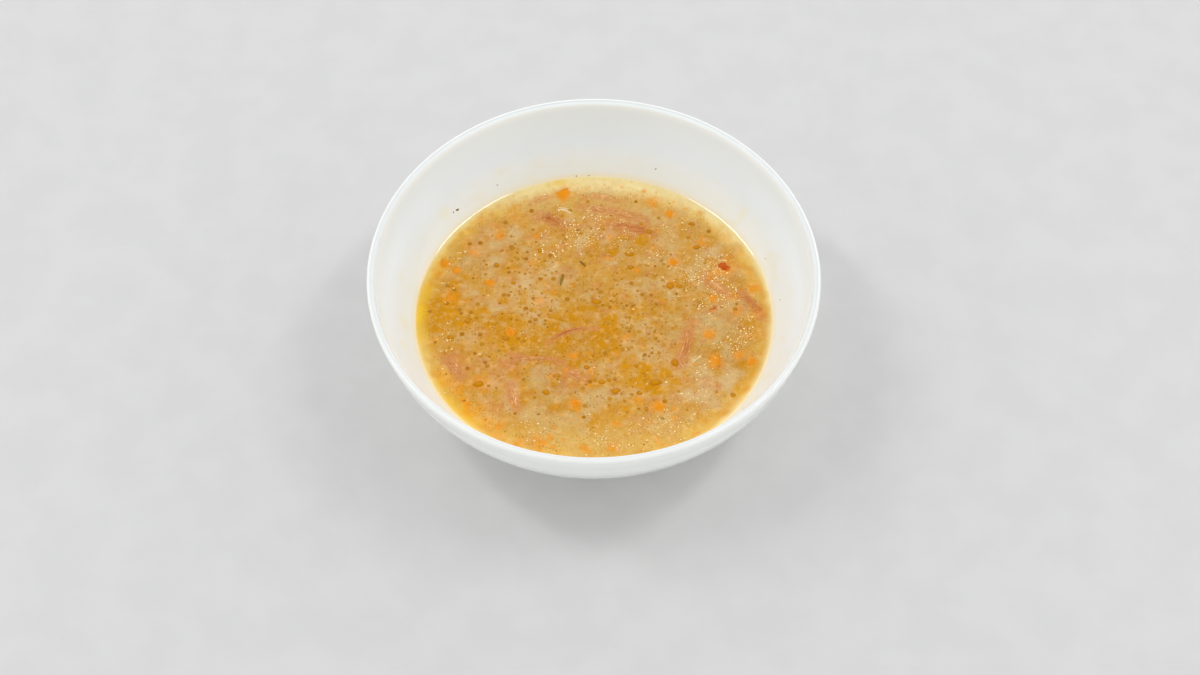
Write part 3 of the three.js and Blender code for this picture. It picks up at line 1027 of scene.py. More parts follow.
@dataclass(frozen=True)
class BrothFinish:
    """Cloudy broth under a film of oil, with specks too fine to be modelled."""

    edge: float
    cream: Colour = linear(244, 195, 122)
    # What the darker swirls and the specks leave of the light.
    shade: Colour = (0.76, 0.7, 0.6, 1.0)
    speck: Colour = (0.66, 0.56, 0.34, 1.0)
    ripple: float = 0.08 * MM

    def build(self) -> Material:
        """Make the material."""
        material, sheet = new_material("broth")
        place = sheet.axes(sheet.place())
        flat = sheet.add("ShaderNodeCombineXYZ", {0: place["X"], 1: place["Y"]}).outputs[0]
        across = sheet.add("ShaderNodeVectorMath", {0: flat}, operation="LENGTH").outputs["Value"]
        inner = sheet.between(across, self.edge - 3 * MM, self.edge - 1.2 * MM, 1.0, 0.0)
        middle = sheet.between(across, self.edge - 6 * MM, self.edge - 1.5 * MM, 1.0, 0.2)
        light = sheet.times(sheet.between(sheet.noise(420.0, 6.0), 0.5, 0.72), middle, 0.42)
        dark = sheet.times(sheet.between(sheet.noise(1100.0, 5.0), 0.48, 0.7), middle, 0.5)
        grid = {"Vector": sheet.place(), "Scale": 900.0, "Randomness": 1.0}
        cells = sheet.add("ShaderNodeTexVoronoi", grid, voronoi_dimensions="2D").outputs
        dot = sheet.between(cells["Distance"], 0.12, 0.3, 1.0, 0.0)
        chosen = sheet.between(sheet.axes(cells["Color"])[0], 0.64, 0.7)
        crowd = sheet.between(sheet.noise(90.0), 0.4, 0.6)
        colour = sheet.mix(light, sheet.attribute("tone"), self.cream)
        colour = sheet.mix(dark, colour, self.shade, "MULTIPLY")
        colour = sheet.mix(sheet.times(dot, chosen, crowd, middle, 0.85), colour, self.speck, "MULTIPLY")
        ripple = sheet.relief(sheet.noise(800.0, 3.0), self.ripple, sheet.times(inner, 0.6))
        gloss = sheet.between(inner, 0.0, 1.0, 0.05, 0.16)
        shine = sheet.between(inner, 0.0, 1.0, 1.0, 0.35)
        finish_surface(sheet, colour, gloss, 1.38, shine, ripple)
        return material


@dataclass(frozen=True)
class OilFinish:
    """Golden oil in beads and drops, each of its own depth of colour, with painted shade in a ring inside its
    rim.
    """

    name: str
    thin: Colour
    deep: Colour
    clear_rim: float = 0.96
    roughness: float = 0.06
    shine: float = 0.2
    ring: float = 0.0
    fade: float = 0.3
    # Painted shade in a ring inside the drop's rim, where its sloped edge turns dark.
    painted_rim_shade: Colour = linear(172, 102, 0)

    def build(self) -> Material:
        """Make the material."""
        material, sheet = new_material(self.name)
        rim = sheet.attribute("rim", "Fac")
        colour = sheet.layers(
            self.thin,
            (sheet.attribute("depth", "Fac"), self.deep),
            # Painted shade ring inside the rim.
            (sheet.between(rim, 0.2, 0.9, 0.0, self.ring), self.painted_rim_shade),
            (sheet.between(rim, self.fade, 1.0, 0.0, self.clear_rim), sheet.attribute("tone")),
        )
        finish_surface(sheet, colour, self.roughness, 1.47, self.shine)
        return material


@dataclass(frozen=True)
class ToppingFinish:
    """A wet topping with uneven colour, veiled in broth where it sinks."""

    name: str
    colour: Colour
    other: Colour
    grain_scale: float
    bare_height: float
    roughness: float = 0.32
    unevenness: float = 0.6
    bump: float = 0.08 * MM

    def build(self, veil: NodeTree, mottle: NodeTree) -> Material:
        """Make the material."""
        material, sheet = new_material(self.name)
        own = sheet.mix(sheet.attribute("depth", "Fac"), self.colour, self.other)
        uneven = sheet.shared(mottle, {"Colour": own, "Other colour": self.other, "Scale": self.grain_scale,
                                       "Amount": self.unevenness})
        veiled = sheet.shared(veil, {"Piece colour": uneven, "Bare height": self.bare_height})
        relief = sheet.relief(sheet.noise(self.grain_scale, 3.0), self.bump, 0.7)
        finish_surface(sheet, veiled, self.roughness, 1.42, 0.25, relief)
        return material


@dataclass(frozen=True)
class FloorFinish:
    """A plain pale matt floor."""

    pale: Colour = linear(215, 215, 214)
    shade: Colour = linear(210, 210, 209)

    def build(self, mottle: NodeTree) -> Material:
        """Make the material."""
        material, sheet = new_material("pale_floor")
        grain = {"Colour": self.pale, "Other colour": self.shade, "Scale": 60.0, "Amount": 0.6}
        finish_surface(sheet, sheet.shared(mottle, grain), 0.85, 1.3)
        return material


# Pieces


@dataclass(frozen=True)
class Kitchen:
    """What every piece in the soup needs: the forms, the paint and the shared groups."""

    bowl: BowlForm
    soup: SoupForm
    paint: BrothPaint
    veil: NodeTree
    mottle: NodeTree

    def surface(self, at: Places) -> np.ndarray:
        """Height of the soup's surface at places."""
        return self.soup.height(at, self.paint.edge)

    def float_at(self, x: float, y: float, above: float = 0.0) -> Vector:
        """A point at or a little above the surface, from its place in millimetres."""
        at = Places(np.array([x * MM]), np.array([y * MM]))
        return Vector((x * MM, y * MM, self.surface(at)[0] + above))

    def keep(
        self, piece: Object, slot: str, material: Material, nodes: Sequence[str] = (),
    ) -> None:
        """Finish a piece: its material, its body and the solids that it stands for.

        Args:
            piece: The piece.
            slot: Not used.
            material: Its material.
            nodes: Names of the CAD nodes that it replaces.
        """
        piece.data.materials.clear()
        piece.data.materials.append(material)
        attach(piece, BODY)
        for node in nodes:
            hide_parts(node)
        piece.data.calc_loop_triangles()
        log.info("%s: %d triangles", piece.name, len(piece.data.loop_triangles))

    def tint(self, piece: Object) -> Object:
        """Store on a piece the broth's tone round it, for the veil, and return the piece."""
        places = corners_of(piece)
        store_colour(piece, "tone", self.paint.tone(Places(places[:, 0], places[:, 1])))
        return piece


@dataclass(frozen=True)
class Bowl:
    """The glazed bowl."""

    kitchen: Kitchen
    # How far beyond the inner wall the glaze turns from the inner to the outer kind.
    turn_over: Range = (0.2 * MM, 1.8 * MM)

    def build(self) -> None:
        """Turn the bowl and glaze it."""
        form = self.kitchen.bowl
        corners, faces = turned_shell(form.profile()[::-1], form.segments)
        piece = mesh_piece("bowl_body", corners, faces)
        wall = np.array([form.inner_radius(height) for height in corners[:, 2]])
        beyond = np.hypot(corners[:, 0], corners[:, 1]) - wall
        hollow = corners[:, 2] > form.height - form.inner_depth - 0.5 * MM
        store_float(piece, "inside", np.where(hollow, 1 - smooth_step(*self.turn_over, beyond), 0.0))
        glaze = GlazeFinish(level=self.kitchen.soup.level, rim=form.height).build(self.kitchen.mottle)
        self.kitchen.keep(piece, "bowl_glaze", glaze, ["bowl"])


def disc_sheet(squares: int, radius: float) -> tuple[Places, Faces]:
    """An even grid of squares pressed into a disc.

    Args:
        squares: Squares along each side of the grid.
        radius: The disc's radius.

    Returns:
        The places of its corners and the faces.
    """
    side = np.linspace(-1, 1, squares + 1)
    u, v = (grid.ravel() for grid in np.meshgrid(side, side))
    wide = np.abs(u) >= np.abs(v)
    reach = np.where(wide, u, v)
    share = np.divide(np.where(wide, v, u), reach, out=np.zeros_like(u), where=reach != 0) * math.pi / 4
    x = radius * reach * np.where(wide, np.cos(share), np.sin(share))
    y = radius * reach * np.where(wide, np.sin(share), np.cos(share))
    row = squares + 1
    starts = (low + step for low in range(0, squares * row, row) for step in range(squares))
    faces = [[start, start + 1, start + 1 + row, start + row] for start in starts]
    return Places(x, y), faces


@dataclass(frozen=True)
class Broth:
    """The broth: a fine sheet on top, drawn up at the wall, and a body that fills the bowl."""

    kitchen: Kitchen
    squares: int = 290
    floor_gap: float = 0.15 * MM
    body_rings: int = 10
    body_fall: float = 0.8
    waterline_angle: float = 1.0

    def edge_loop(self) -> list[int]:
        """Corner numbers round the grid's border, anticlockwise."""
        row = self.squares + 1
        bottom = list(range(self.squares))
        right = [self.squares + row * step for step in range(self.squares)]
        top = [row * row - 1 - step for step in range(self.squares)]
        left = [row * self.squares - row * step for step in range(self.squares)]
        return bottom + right + top + left

    def build(self) -> None:
        """Make the broth and give it its colours."""
        kitchen = self.kitchen
        soup, bowl = kitchen.soup, kitchen.bowl
        at, faces = disc_sheet(self.squares, kitchen.paint.edge + soup.reach_into_wall)
        corners = [np.stack([at.x, at.y, kitchen.surface(at)], axis=1)]
        loop = self.edge_loop()
        angles = np.arctan2(at.y[loop], at.x[loop])
        count = len(at.x)
        above = loop
        start = soup.level + soup.creep
        bottom = bowl.height - bowl.inner_depth + self.floor_gap
        for ring in range(1, self.body_rings + 1):
            share = ring / self.body_rings
            height = start + (bottom - start) * math.sin(share * math.pi / 2) ** self.body_fall
            radius = bowl.inner_radius(height - self.floor_gap) + soup.reach_into_wall * (1 - share)
            heights = np.full_like(angles, height)
            corners.append(np.stack([radius * np.cos(angles), radius * np.sin(angles), heights], axis=1))
            below = list(range(count, count + len(loop)))
            for step in range(len(loop)):
                after = (step + 1) % len(loop)
                faces.append([above[step], below[step], below[after], above[after]])
            above = below
            count += len(loop)
        corners.append(np.array([[0.0, 0.0, bottom]]))
        faces += [[above[step], count, above[(step + 1) % len(loop)]] for step in range(len(loop))]
        piece = mesh_piece("broth", np.concatenate(corners), faces)
        piece.data.set_sharp_from_angle(angle=self.waterline_angle)
        kitchen.keep(kitchen.tint(piece), "broth", BrothFinish(kitchen.paint.edge).build(), ["soup"])


@dataclass(frozen=True)
class FibreBundle:
    """A shred of meat or a strip of onion: fine fibres that run along it, some broken short."""

    kitchen: Kitchen
    strand: Strand
    name: str
    node: str
    slot: str
    material: Material
    seed: int
    fibre: float = 0.42 * MM
    fewest: int = 6
    crowding: float = 3.0
    sides: int = 7
    steps: int = 22
    top: float = 0.24 * MM
    splay: float = 0.5
    # Shares that shape the bundle: its tips drawn in, its flanks lower than its crown, each fibre's tip fine.
    drawn_in: float = 0.25
    flank: float = 0.4
    tip: float = 0.1
    sunk_tips: float = 0.45 * MM
    swell: float = 0.08 * MM
    swells: float = 9
    # What is drawn for each fibre: its radius, where it starts and ends, its splay, its wave, how high it
    # lies and how much its colour differs.
    thickness: Range = (0.35, 0.75)
    start: Range = (0, 0.22)
    end: Range = (0.78, 1.0)
    splaying: Range = (-0.5, 1.0)
    wave: Range = (0.05, 0.16)
    turns: Range = (6, 14)
    rise: Range = (0.3, 1.0)
    uneven: Range = (-0.35, 0.35)

    def tube(self, points: np.ndarray, radii: np.ndarray, across: np.ndarray) -> tuple[np.ndarray, Faces]:
        """A closed tube round a run of points.

        Args:
            points: Middles of the tube's rings.
            radii: Radius of each ring.
            across: Level direction across the tube at each ring.

        Returns:
            Corners and faces.
        """
        angles = np.arange(self.sides) * 2 * math.pi / self.sides
        side = np.concatenate([across, np.zeros((len(across), 1))], axis=1)
        rise = np.array([0.0, 0.0, 1.0])
        rings = points[:, None, :] + radii[:, None, None] * (
            np.cos(angles)[None, :, None] * side[:, None, :] + np.sin(angles)[None, :, None] * rise)
        corners = np.concatenate([rings.reshape(-1, 3), points[:1], points[-1:]])
        faces = []
        first, last = len(corners) - 2, len(corners) - 1
        end = (len(points) - 1) * self.sides
        for step in range(self.sides):
            after = (step + 1) % self.sides
            faces.append([first, step, after])
            faces.append([last, end + after, end + step])
            for here in range(0, end, self.sides):
                there = here + self.sides
                faces.append([here + step, there + step, there + after, here + after])
        return corners, faces

    def draw_fibre(self, rng: np.random.Generator) -> Shell:
        """Draw one fibre at random within the shred."""
        offset = rng.uniform(-0.5, 0.5)
        radius = self.fibre * rng.uniform(*self.thickness)
        shares = np.linspace(rng.uniform(*self.start), rng.uniform(*self.end), self.steps)
        points, across = self.strand.places(shares)
        ends = np.abs(2 * shares - 1)
        spread = rounded_ends(shares, 4, self.drawn_in)
        spread = spread + self.splay * rng.uniform(*self.splaying) * ends ** 3
        wave = rng.uniform(*self.wave) * MM * np.sin(shares * rng.uniform(*self.turns) + rng.uniform(*PHASES))
        points = points + across * (offset * self.strand.width * MM * spread + wave)[:, None]
        crown = self.flank + (1 - self.flank) * (1 - (2 * offset) ** 2)
        lift = self.top * crown * rng.uniform(*self.rise) - radius
        dip = self.sunk_tips * ends ** 5 + self.swell * np.sin(shares * self.swells + rng.uniform(*PHASES))
        heights = self.kitchen.soup.level + lift - dip
        taper = rounded_ends(np.linspace(0, 1, self.steps), 6, self.tip)
        corners, faces = self.tube(np.concatenate([points, heights[:, None]], axis=1), radius * taper, across)
        return Shell(corners, faces, np.clip(self.strand.dark + rng.uniform(*self.uneven), 0, 1))

    def build(self) -> None:
        """Lay the fibres and dress them."""
        rng = np.random.default_rng(self.seed)
        count = max(self.fewest, round(self.crowding * self.strand.width * MM / self.fibre))
        piece = joined_piece(self.name, [self.draw_fibre(rng) for _ in range(count)])
        self.kitchen.keep(self.kitchen.tint(piece), self.slot, self.material, [self.node])


@dataclass(frozen=True)
class Chopped:
    """Uneven rounded dice, cut by hand, of one kind of vegetable."""

    kitchen: Kitchen
    name: str
    bits: tuple[Bit, ...]
    slot: str
    material: Material
    seed: int
    rise: float = 0.2
    roundness: float = 0.6
    ball: float = 0.62
    cuts: int = 3
    roughness: float = 0.22
    skew: Range = (-0.25, 0.25)
    tilt: Range = (-0.15, 0.15)
    above: float = 0.04 * MM

    def cut(self, bit: Bit, rng: np.random.Generator) -> Shell:
        """Cut one die at random and float it."""
        lump = bmesh.new()
        bmesh.ops.create_cube(lump, size=1.0)
        bmesh.ops.subdivide_edges(lump, edges=lump.edges[:], cuts=self.cuts, use_grid_fill=True)
        skew = Vector(rng.uniform(*self.skew, 3))
        for corner in lump.verts:
            place = corner.co.copy()
            soft = place.lerp(place.normalized() * self.ball, self.roundness)
            soft += skew * place.x * place.y
            corner.co = soft * (1 + rng.uniform(-self.roughness, self.roughness) * 0.5)
        size = Matrix.Diagonal((*(side * MM for side in bit.size), 1.0))
        tilt = Matrix.Rotation(rng.uniform(*self.tilt), 4, "X")
        heading = Matrix.Rotation(bit.heading, 4, "Z")
        lump.transform(heading @ tilt @ size)
        top = max(corner.co.z for corner in lump.verts)
        lift = self.rise * bit.shown * bit.size[2] * MM + self.above - top
        lump.transform(Matrix.Translation(self.kitchen.float_at(*bit.at, lift)))
        corners = np.array([corner.co for corner in lump.verts])
        faces = [[corner.index for corner in face.verts] for face in lump.faces]
        lump.free()
        return Shell(corners, faces, rng.uniform(0, 1))

    def build(self) -> None:
        """Cut the dice and dress them."""
        rng = np.random.default_rng(self.seed)
        piece = joined_piece(self.name, [self.cut(bit, rng) for bit in self.bits])
        self.kitchen.keep(self.kitchen.tint(piece), self.slot, self.material)


def lens_mesh(name: str, sides: int, rings: int, contact: float) -> Object:
    """A drop of radius 1 that stands on the surface: a cap of a sphere over a shallow keel.

    Args:
        name: The object's name.
        sides: Sides round the drop.
        rings: Rings from its top to its edge.
        contact: The angle at which its edge meets the surface.

    Returns:
        The object.
    """
    sphere = 1 / math.sin(contact)
    keel = (0.0, -0.4)
    turns = [contact * ring / rings for ring in range(rings + 1)]
    cap = [(sphere * math.sin(turn), sphere * (math.cos(turn) - math.cos(contact))) for turn in turns]
    corners, faces = turned_shell([*cap, keel], sides)
    drop = mesh_piece(name, corners, faces)
    store_float(drop, "rim", np.hypot(corners[:, 0], corners[:, 1]))
    return drop


def scatter_tree() -> NodeTree:
    """The tree that strews drops over a sheet: crowded where the sheet's crowding is high, uneven in size."""
    tree = bpy.data.node_groups.new("Strewn drops", "GeometryNodeTree")
    face = tree.interface
    kinds = {"Geometry": "Geometry", "Drop": "Object", "Density": "Float", "Spacing": "Float",
             "Smallest": "Float", "Largest": "Float", "Seed": "Int", "Finish": "Material"}
    for label, kind in kinds.items():
        face.new_socket(label, in_out="INPUT", socket_type="NodeSocket" + kind)
    face.new_socket("Geometry", in_out="OUTPUT", socket_type="NodeSocketGeometry")
    sheet = NodeSheet(tree)
    given = sheet.add("NodeGroupInput").outputs
    named = sheet.add("GeometryNodeInputNamedAttribute", {"Name": "crowding"}, data_type="FLOAT")
    spread = {"Mesh": given["Geometry"], "Distance Min": given["Spacing"], "Density Max": given["Density"],
              "Density Factor": named.outputs[0], "Seed": given["Seed"]}
    points = sheet.add("GeometryNodeDistributePointsOnFaces", spread, distribute_method="POISSON")
    drop = sheet.add("GeometryNodeObjectInfo", {"Object": given["Drop"]}).outputs["Geometry"]
    chance = sheet.add("FunctionNodeRandomValue", {"Seed": given["Seed"]}, data_type="FLOAT").outputs[1]
    rare = sheet.math("POWER", chance, 3.0)
    size = sheet.add("ShaderNodeMapRange", {0: rare, 3: given["Smallest"], 4: given["Largest"]}).outputs[0]
    turn = sheet.add("FunctionNodeRandomValue", {"Max": (0.0, 0.0, 2 * math.pi), "Seed": given["Seed"]},
                     data_type="FLOAT_VECTOR").outputs[0]
    strewn = sheet.add("GeometryNodeInstanceOnPoints",
                       {"Points": points.outputs[0], "Instance": drop, "Rotation": turn, "Scale": size})
    shade = sheet.add("FunctionNodeRandomValue", {"Seed": 5}, data_type="FLOAT").outputs[1]
    named = sheet.add("GeometryNodeStoreNamedAttribute",
                      {"Geometry": strewn.outputs[0], "Name": "depth", "Value": shade},
                      data_type="FLOAT", domain="INSTANCE")
    real = sheet.add("GeometryNodeRealizeInstances", {"Geometry": named.outputs[0]})
    dressed = sheet.add("GeometryNodeSetMaterial", {"Geometry": real.outputs[0], "Material": given["Finish"]})
    sheet.add("NodeGroupOutput", {"Geometry": dressed.outputs[0]})
    return tree


@dataclass(frozen=True)
class StrewnDrops:
    """Drops of one kind, strewn over the broth by Geometry Nodes."""

    kitchen: Kitchen
    name: str
    tree: NodeTree
    patches: tuple[Patch, ...]
    material: Material
    density: float
    spacing: float
    smallest: float
    largest: float
    seed: int
    contact: float
    everywhere: float
    sides: int = 9
    rings: int = 3
    squares: int = 60
    edge_gap: float = 1.6 * MM
    lift: float = 0.0
    clusters: Range = (0.2, 0.7)

    def build(self) -> None:
        """Strew the drops, turn them into a plain mesh and keep it."""
        kitchen = self.kitchen
        at, faces = disc_sheet(self.squares, kitchen.paint.edge - self.edge_gap)
        places = np.stack([at.x, at.y, kitchen.surface(at) + self.lift], axis=1)
        carrier = kitchen.tint(mesh_piece(self.name + "_sheet", places, faces))
        cluster = smooth_step(*self.clusters, at.cloud(4 * MM, self.seed + 50))
        crowding = np.maximum(at.cover(self.patches, self.seed) * cluster, self.everywhere)
        store_float(carrier, "crowding", crowding)
        drop = lens_mesh(self.name + "_drop", self.sides, self.rings, self.contact)
        values = {"Drop": drop, "Density": self.density, "Spacing": self.spacing, "Smallest": self.smallest,
                  "Largest": self.largest, "Seed": self.seed, "Finish": self.material}
        modifier = carrier.modifiers.new("Strewn drops", "NODES")
        modifier.node_group = self.tree
        for item in self.tree.interface.items_tree:
            if item.in_out == "INPUT" and item.name in values:
                modifier[item.identifier] = values[item.name]
        bpy.context.view_layer.update()
        evaluated = carrier.evaluated_get(bpy.context.evaluated_depsgraph_get())
        mesh = bpy.data.meshes.new_from_object(evaluated)
        mesh.name = self.name
        mesh.shade_smooth()
        mesh.set_sharp_from_angle(angle=CRISP_ANGLE)
        carrier.modifiers.remove(modifier)
        piece = place_object(self.name, mesh)
        bpy.data.objects.remove(carrier)
        bpy.data.objects.remove(drop)
        kitchen.keep(piece, "broth", self.material)


@dataclass(frozen=True)
class OilDrops:
    """The larger oil drops, each where the photograph shows it."""

    kitchen: Kitchen
    material: Material
    name: str = "oil_drops"
    seed: int = 8
    contact: float = 0.42
    sides: int = 28
    rings: int = 6
    oval: float = 0.07
    lobed: float = 0.05
    # Middle, half length and half breadth of each drop, in millimetres.
    drops: tuple[tuple[float, float, float, float], ...] = (
        (12.4, 26.4, 1.9, 1.1), (26.2, 12.7, 1.7, 1.6), (29.3, 12.5, 1.3, 1.1), (0.8, 6.1, 2.1, 1.3),
        (12.7, 20.8, 1.3, 1.1), (-29.9, -9.0, 1.6, 1.4), (27.1, -19.3, 1.6, 1.7), (20.4, -27.2, 2.4, 1.7),
        (7.2, -30.7, 1.7, 1.6), (15.1, -31.5, 0.9, 0.9), (12.6, -32.0, 0.7, 0.7), (-27.7, 14.2, 1.0, 0.9),
        (-33.6, 21.9, 1.1, 1.3), (35.8, 29.3, 1.4, 1.2), (-18.7, 28.2, 1.2, 1.1), (-16.0, -31.0, 1.5, 1.3),
        (19.4, 36.3, 1.3, 1.2), (34.4, 39.7, 1.4, 1.0), (46.1, -32.5, 1.0, 0.9), (17.2, -37.8, 0.9, 1.1),
        (-43.0, -2.0, 1.2, 1.0), (2.5, -27.0, 1.2, 1.0), (5.0, -26.2, 0.9, 0.9), (-11.8, -24.5, 0.8, 0.8),
        (33.0, 33.6, 0.9, 0.8), (-48.4, -8.6, 1.4, 1.2), (14.0, -20.5, 1.0, 0.9), (-2.5, -21.0, 1.2, 1.0),
        (-38.5, -27.6, 2.2, 1.4),
    )

    def build(self) -> None:
        """Stretch a lens for each drop, join them and dress them."""
        lens = lens_mesh("lens", self.sides, self.rings, self.contact)
        unit = corners_of(lens)
        faces = [list(face.vertices) for face in lens.data.polygons]
        bpy.data.objects.remove(lens)
        rng = np.random.default_rng(self.seed)
        angle = np.arctan2(unit[:, 1], unit[:, 0])
        rim = np.hypot(unit[:, 0], unit[:, 1])
        shells = []
        for x, y, length, breadth in self.drops:
            lobes = 1 + self.oval * np.sin(2 * angle + rng.uniform(*PHASES))
            lobes += self.lobed * np.sin(3 * angle + rng.uniform(*PHASES))
            tall = np.full_like(rim, min(length, breadth))
            scale = np.stack([lobes * length, lobes * breadth, tall], axis=1)
            # Deeper colour towards the rim is painted shade, with a random depth for each drop.
            depth = np.clip(0.25 + 0.6 * rim ** 2 + rng.uniform(-0.2, 0.2), 0, 1)
            shells.append(Shell(np.array(self.kitchen.float_at(x, y)) + unit * scale * MM, faces, depth))
        piece = joined_piece(self.name, shells)
        piece.data.set_sharp_from_angle(angle=CRISP_ANGLE)
        store_float(piece, "rim", np.tile(rim, len(self.drops)))
        self.kitchen.keep(self.kitchen.tint(piece), "broth", self.material)


@dataclass(frozen=True)
class Flakes:
    """Thin flakes of herb: on the broth, or stuck to the wall above it."""

    kitchen: Kitchen
    name: str
    material: Material
    seed: int
    sides: int = 8
    thickness: float = 0.22
    ragged: Range = (0.7, 1.0)
    face: float = 0.8
    crown: float = 1.2
    above: float = 0.08 * MM

    def lay(self, flakes: Sequence[tuple[Vector, Vector, float, float, float]]) -> None:
        """Lay flakes, join them and dress them.

        Args:
            flakes: For each flake its middle, the direction that it faces, its heading, length and breadth.
        """
        rng = np.random.default_rng(self.seed)
        rim = self.sides
        faces = []
        for step in range(rim):
            after = (step + 1) % rim
            faces.append([3 * rim, step, after])
            faces.append([step, rim + step, rim + after, after])
            faces.append([rim + step, 2 * rim + step, 2 * rim + after, rim + after])
            faces.append([3 * rim + 1, 2 * rim + after, 2 * rim + step])
        shells = []
        for middle, facing, heading, length, breadth in flakes:
            turn = facing.to_track_quat("Z", "Y").to_matrix() @ Matrix.Rotation(heading, 3, "Z")
            curl = Vector((0, 0, self.thickness * min(length, breadth)))
            outline = []
            for step in range(rim):
                angle = 2 * math.pi * step / rim
                reach = rng.uniform(*self.ragged)
                across, ahead = math.cos(angle) * length / 2, math.sin(angle) * breadth / 2
                outline.append(Vector((across * reach, ahead * reach, 0)))
            points = [point * self.face + curl for point in outline] + outline
            points += [point * self.face - curl for point in outline]
            points += [curl * self.crown, -curl * self.crown]
            corners = np.array([middle + turn @ point for point in points])
            shells.append(Shell(corners, faces, rng.uniform(0, 1)))
        piece = joined_piece(self.name, shells)
        self.kitchen.keep(self.kitchen.tint(piece), "broth", self.material)

    def on_broth(self, bits: Iterable[Bit]) -> None:
        """Float flakes on the broth."""
        up = Vector((0, 0, 1))
        self.lay([
            (self.kitchen.float_at(*bit.at, self.above), up, bit.heading, bit.size[0] * MM, bit.size[1] * MM)
            for bit in bits
        ])

    def on_wall(self, places: Iterable[tuple[float, float, float, float]]) -> None:
        """Stick flakes to the inside of the bowl.

        Args:
            places: For each flake its bearing in degrees, and in mm its height above the level, its
                length and its breadth.
        """
        flakes = []
        step = 0.2 * MM
        for bearing, above, length, breadth in places:
            angle = math.radians(bearing)
            height = self.kitchen.soup.level + above * MM
            radius = self.kitchen.bowl.inner_radius(height)
            slope = (self.kitchen.bowl.inner_radius(height + step) - radius) / step
            facing = Vector((-math.cos(angle), -math.sin(angle), slope)).normalized()
            middle = Vector((radius * math.cos(angle), radius * math.sin(angle), height))
            flakes.append((middle, facing, bearing, length * MM, breadth * MM))
        self.lay(flakes)


# Where the bits lie

FINE_BITS = 14
FINE_CARROT = (2.6, 2.0, 0.9)
HERB_FLECK = (1.6, 0.9, 0.6)
FIRST_CARROT = 1
FIRST_HERB = 1000
# Bearing in degrees, then height above the level, length and breadth in millimetres.
WALL_FLECKS = (
    (137.9, 4.2, 1.6, 0.9), (122.0, 4.0, 0.6, 0.5), (70.0, 4.7, 0.8, 0.5), (20.4, 3.0, 0.5, 0.4),
    (3.8, 3.4, 0.5, 0.4), (95.7, 0.9, 0.6, 0.5), (91.5, 0.9, 0.6, 0.5), (139.5, 4.4, 0.8, 0.5),
)
WALL_SPACE = 2
SMALLEST_SCALE = 0.75
SCALE_SPREAD = 0.5


def clear_of(at: Point2, size: float, placed: Sequence[Bit], space: float = 0.8) -> bool:
    """Whether a bit at a place keeps clear of the shreds and of the bits already placed."""
    for strand in VEAL_SHREDS + ONION_STRIPS:
        points, _ = strand.places(np.linspace(0, 1, 10))
        nearest = np.hypot(points[:, 0] / MM - at[0], points[:, 1] / MM - at[1]).min() - strand.width / 2
        if nearest <= size / 2 + space:
            return False
    return all(math.dist(bit.at, at) > (bit.size[0] + size) / 2 + space for bit in placed)


def spread_bits(
    count: int,
    size: tuple[float, float, float],
    first: int,
    edge: float,
    placed: Sequence[Bit],
    shown: float = 0.6,
) -> list[Bit]:
    """Spread bits of one kind over the surface by the part's rule.

    Args:
        count: How many bits.
        size: Their usual length, breadth and thickness, in millimetres.
        first: Where in the sequence they start.
        edge: Radius of the part's solid soup, in millimetres.
        placed: Bits that already lie there.
        shown: How clearly the bits stand out of the broth.

    Returns:
        The new bits.
    """
    reach = edge - WALL_SPACE - size[0] / 2
    bits: list[Bit] = []
    index = first
    while len(bits) < count:
        radius = reach * math.sqrt(mirrored_digits(index, 2))
        angle = 2 * math.pi * mirrored_digits(index, 3)
        at = (radius * math.cos(angle), radius * math.sin(angle))
        if clear_of(at, size[0], [*placed, *bits]):
            scale = SMALLEST_SCALE + SCALE_SPREAD * mirrored_digits(index, 5)
            heading = math.pi * mirrored_digits(index, 7)
            bits.append(Bit(at, tuple(side * scale for side in size), heading, shown))
        index += 1
    return bits


# Stage


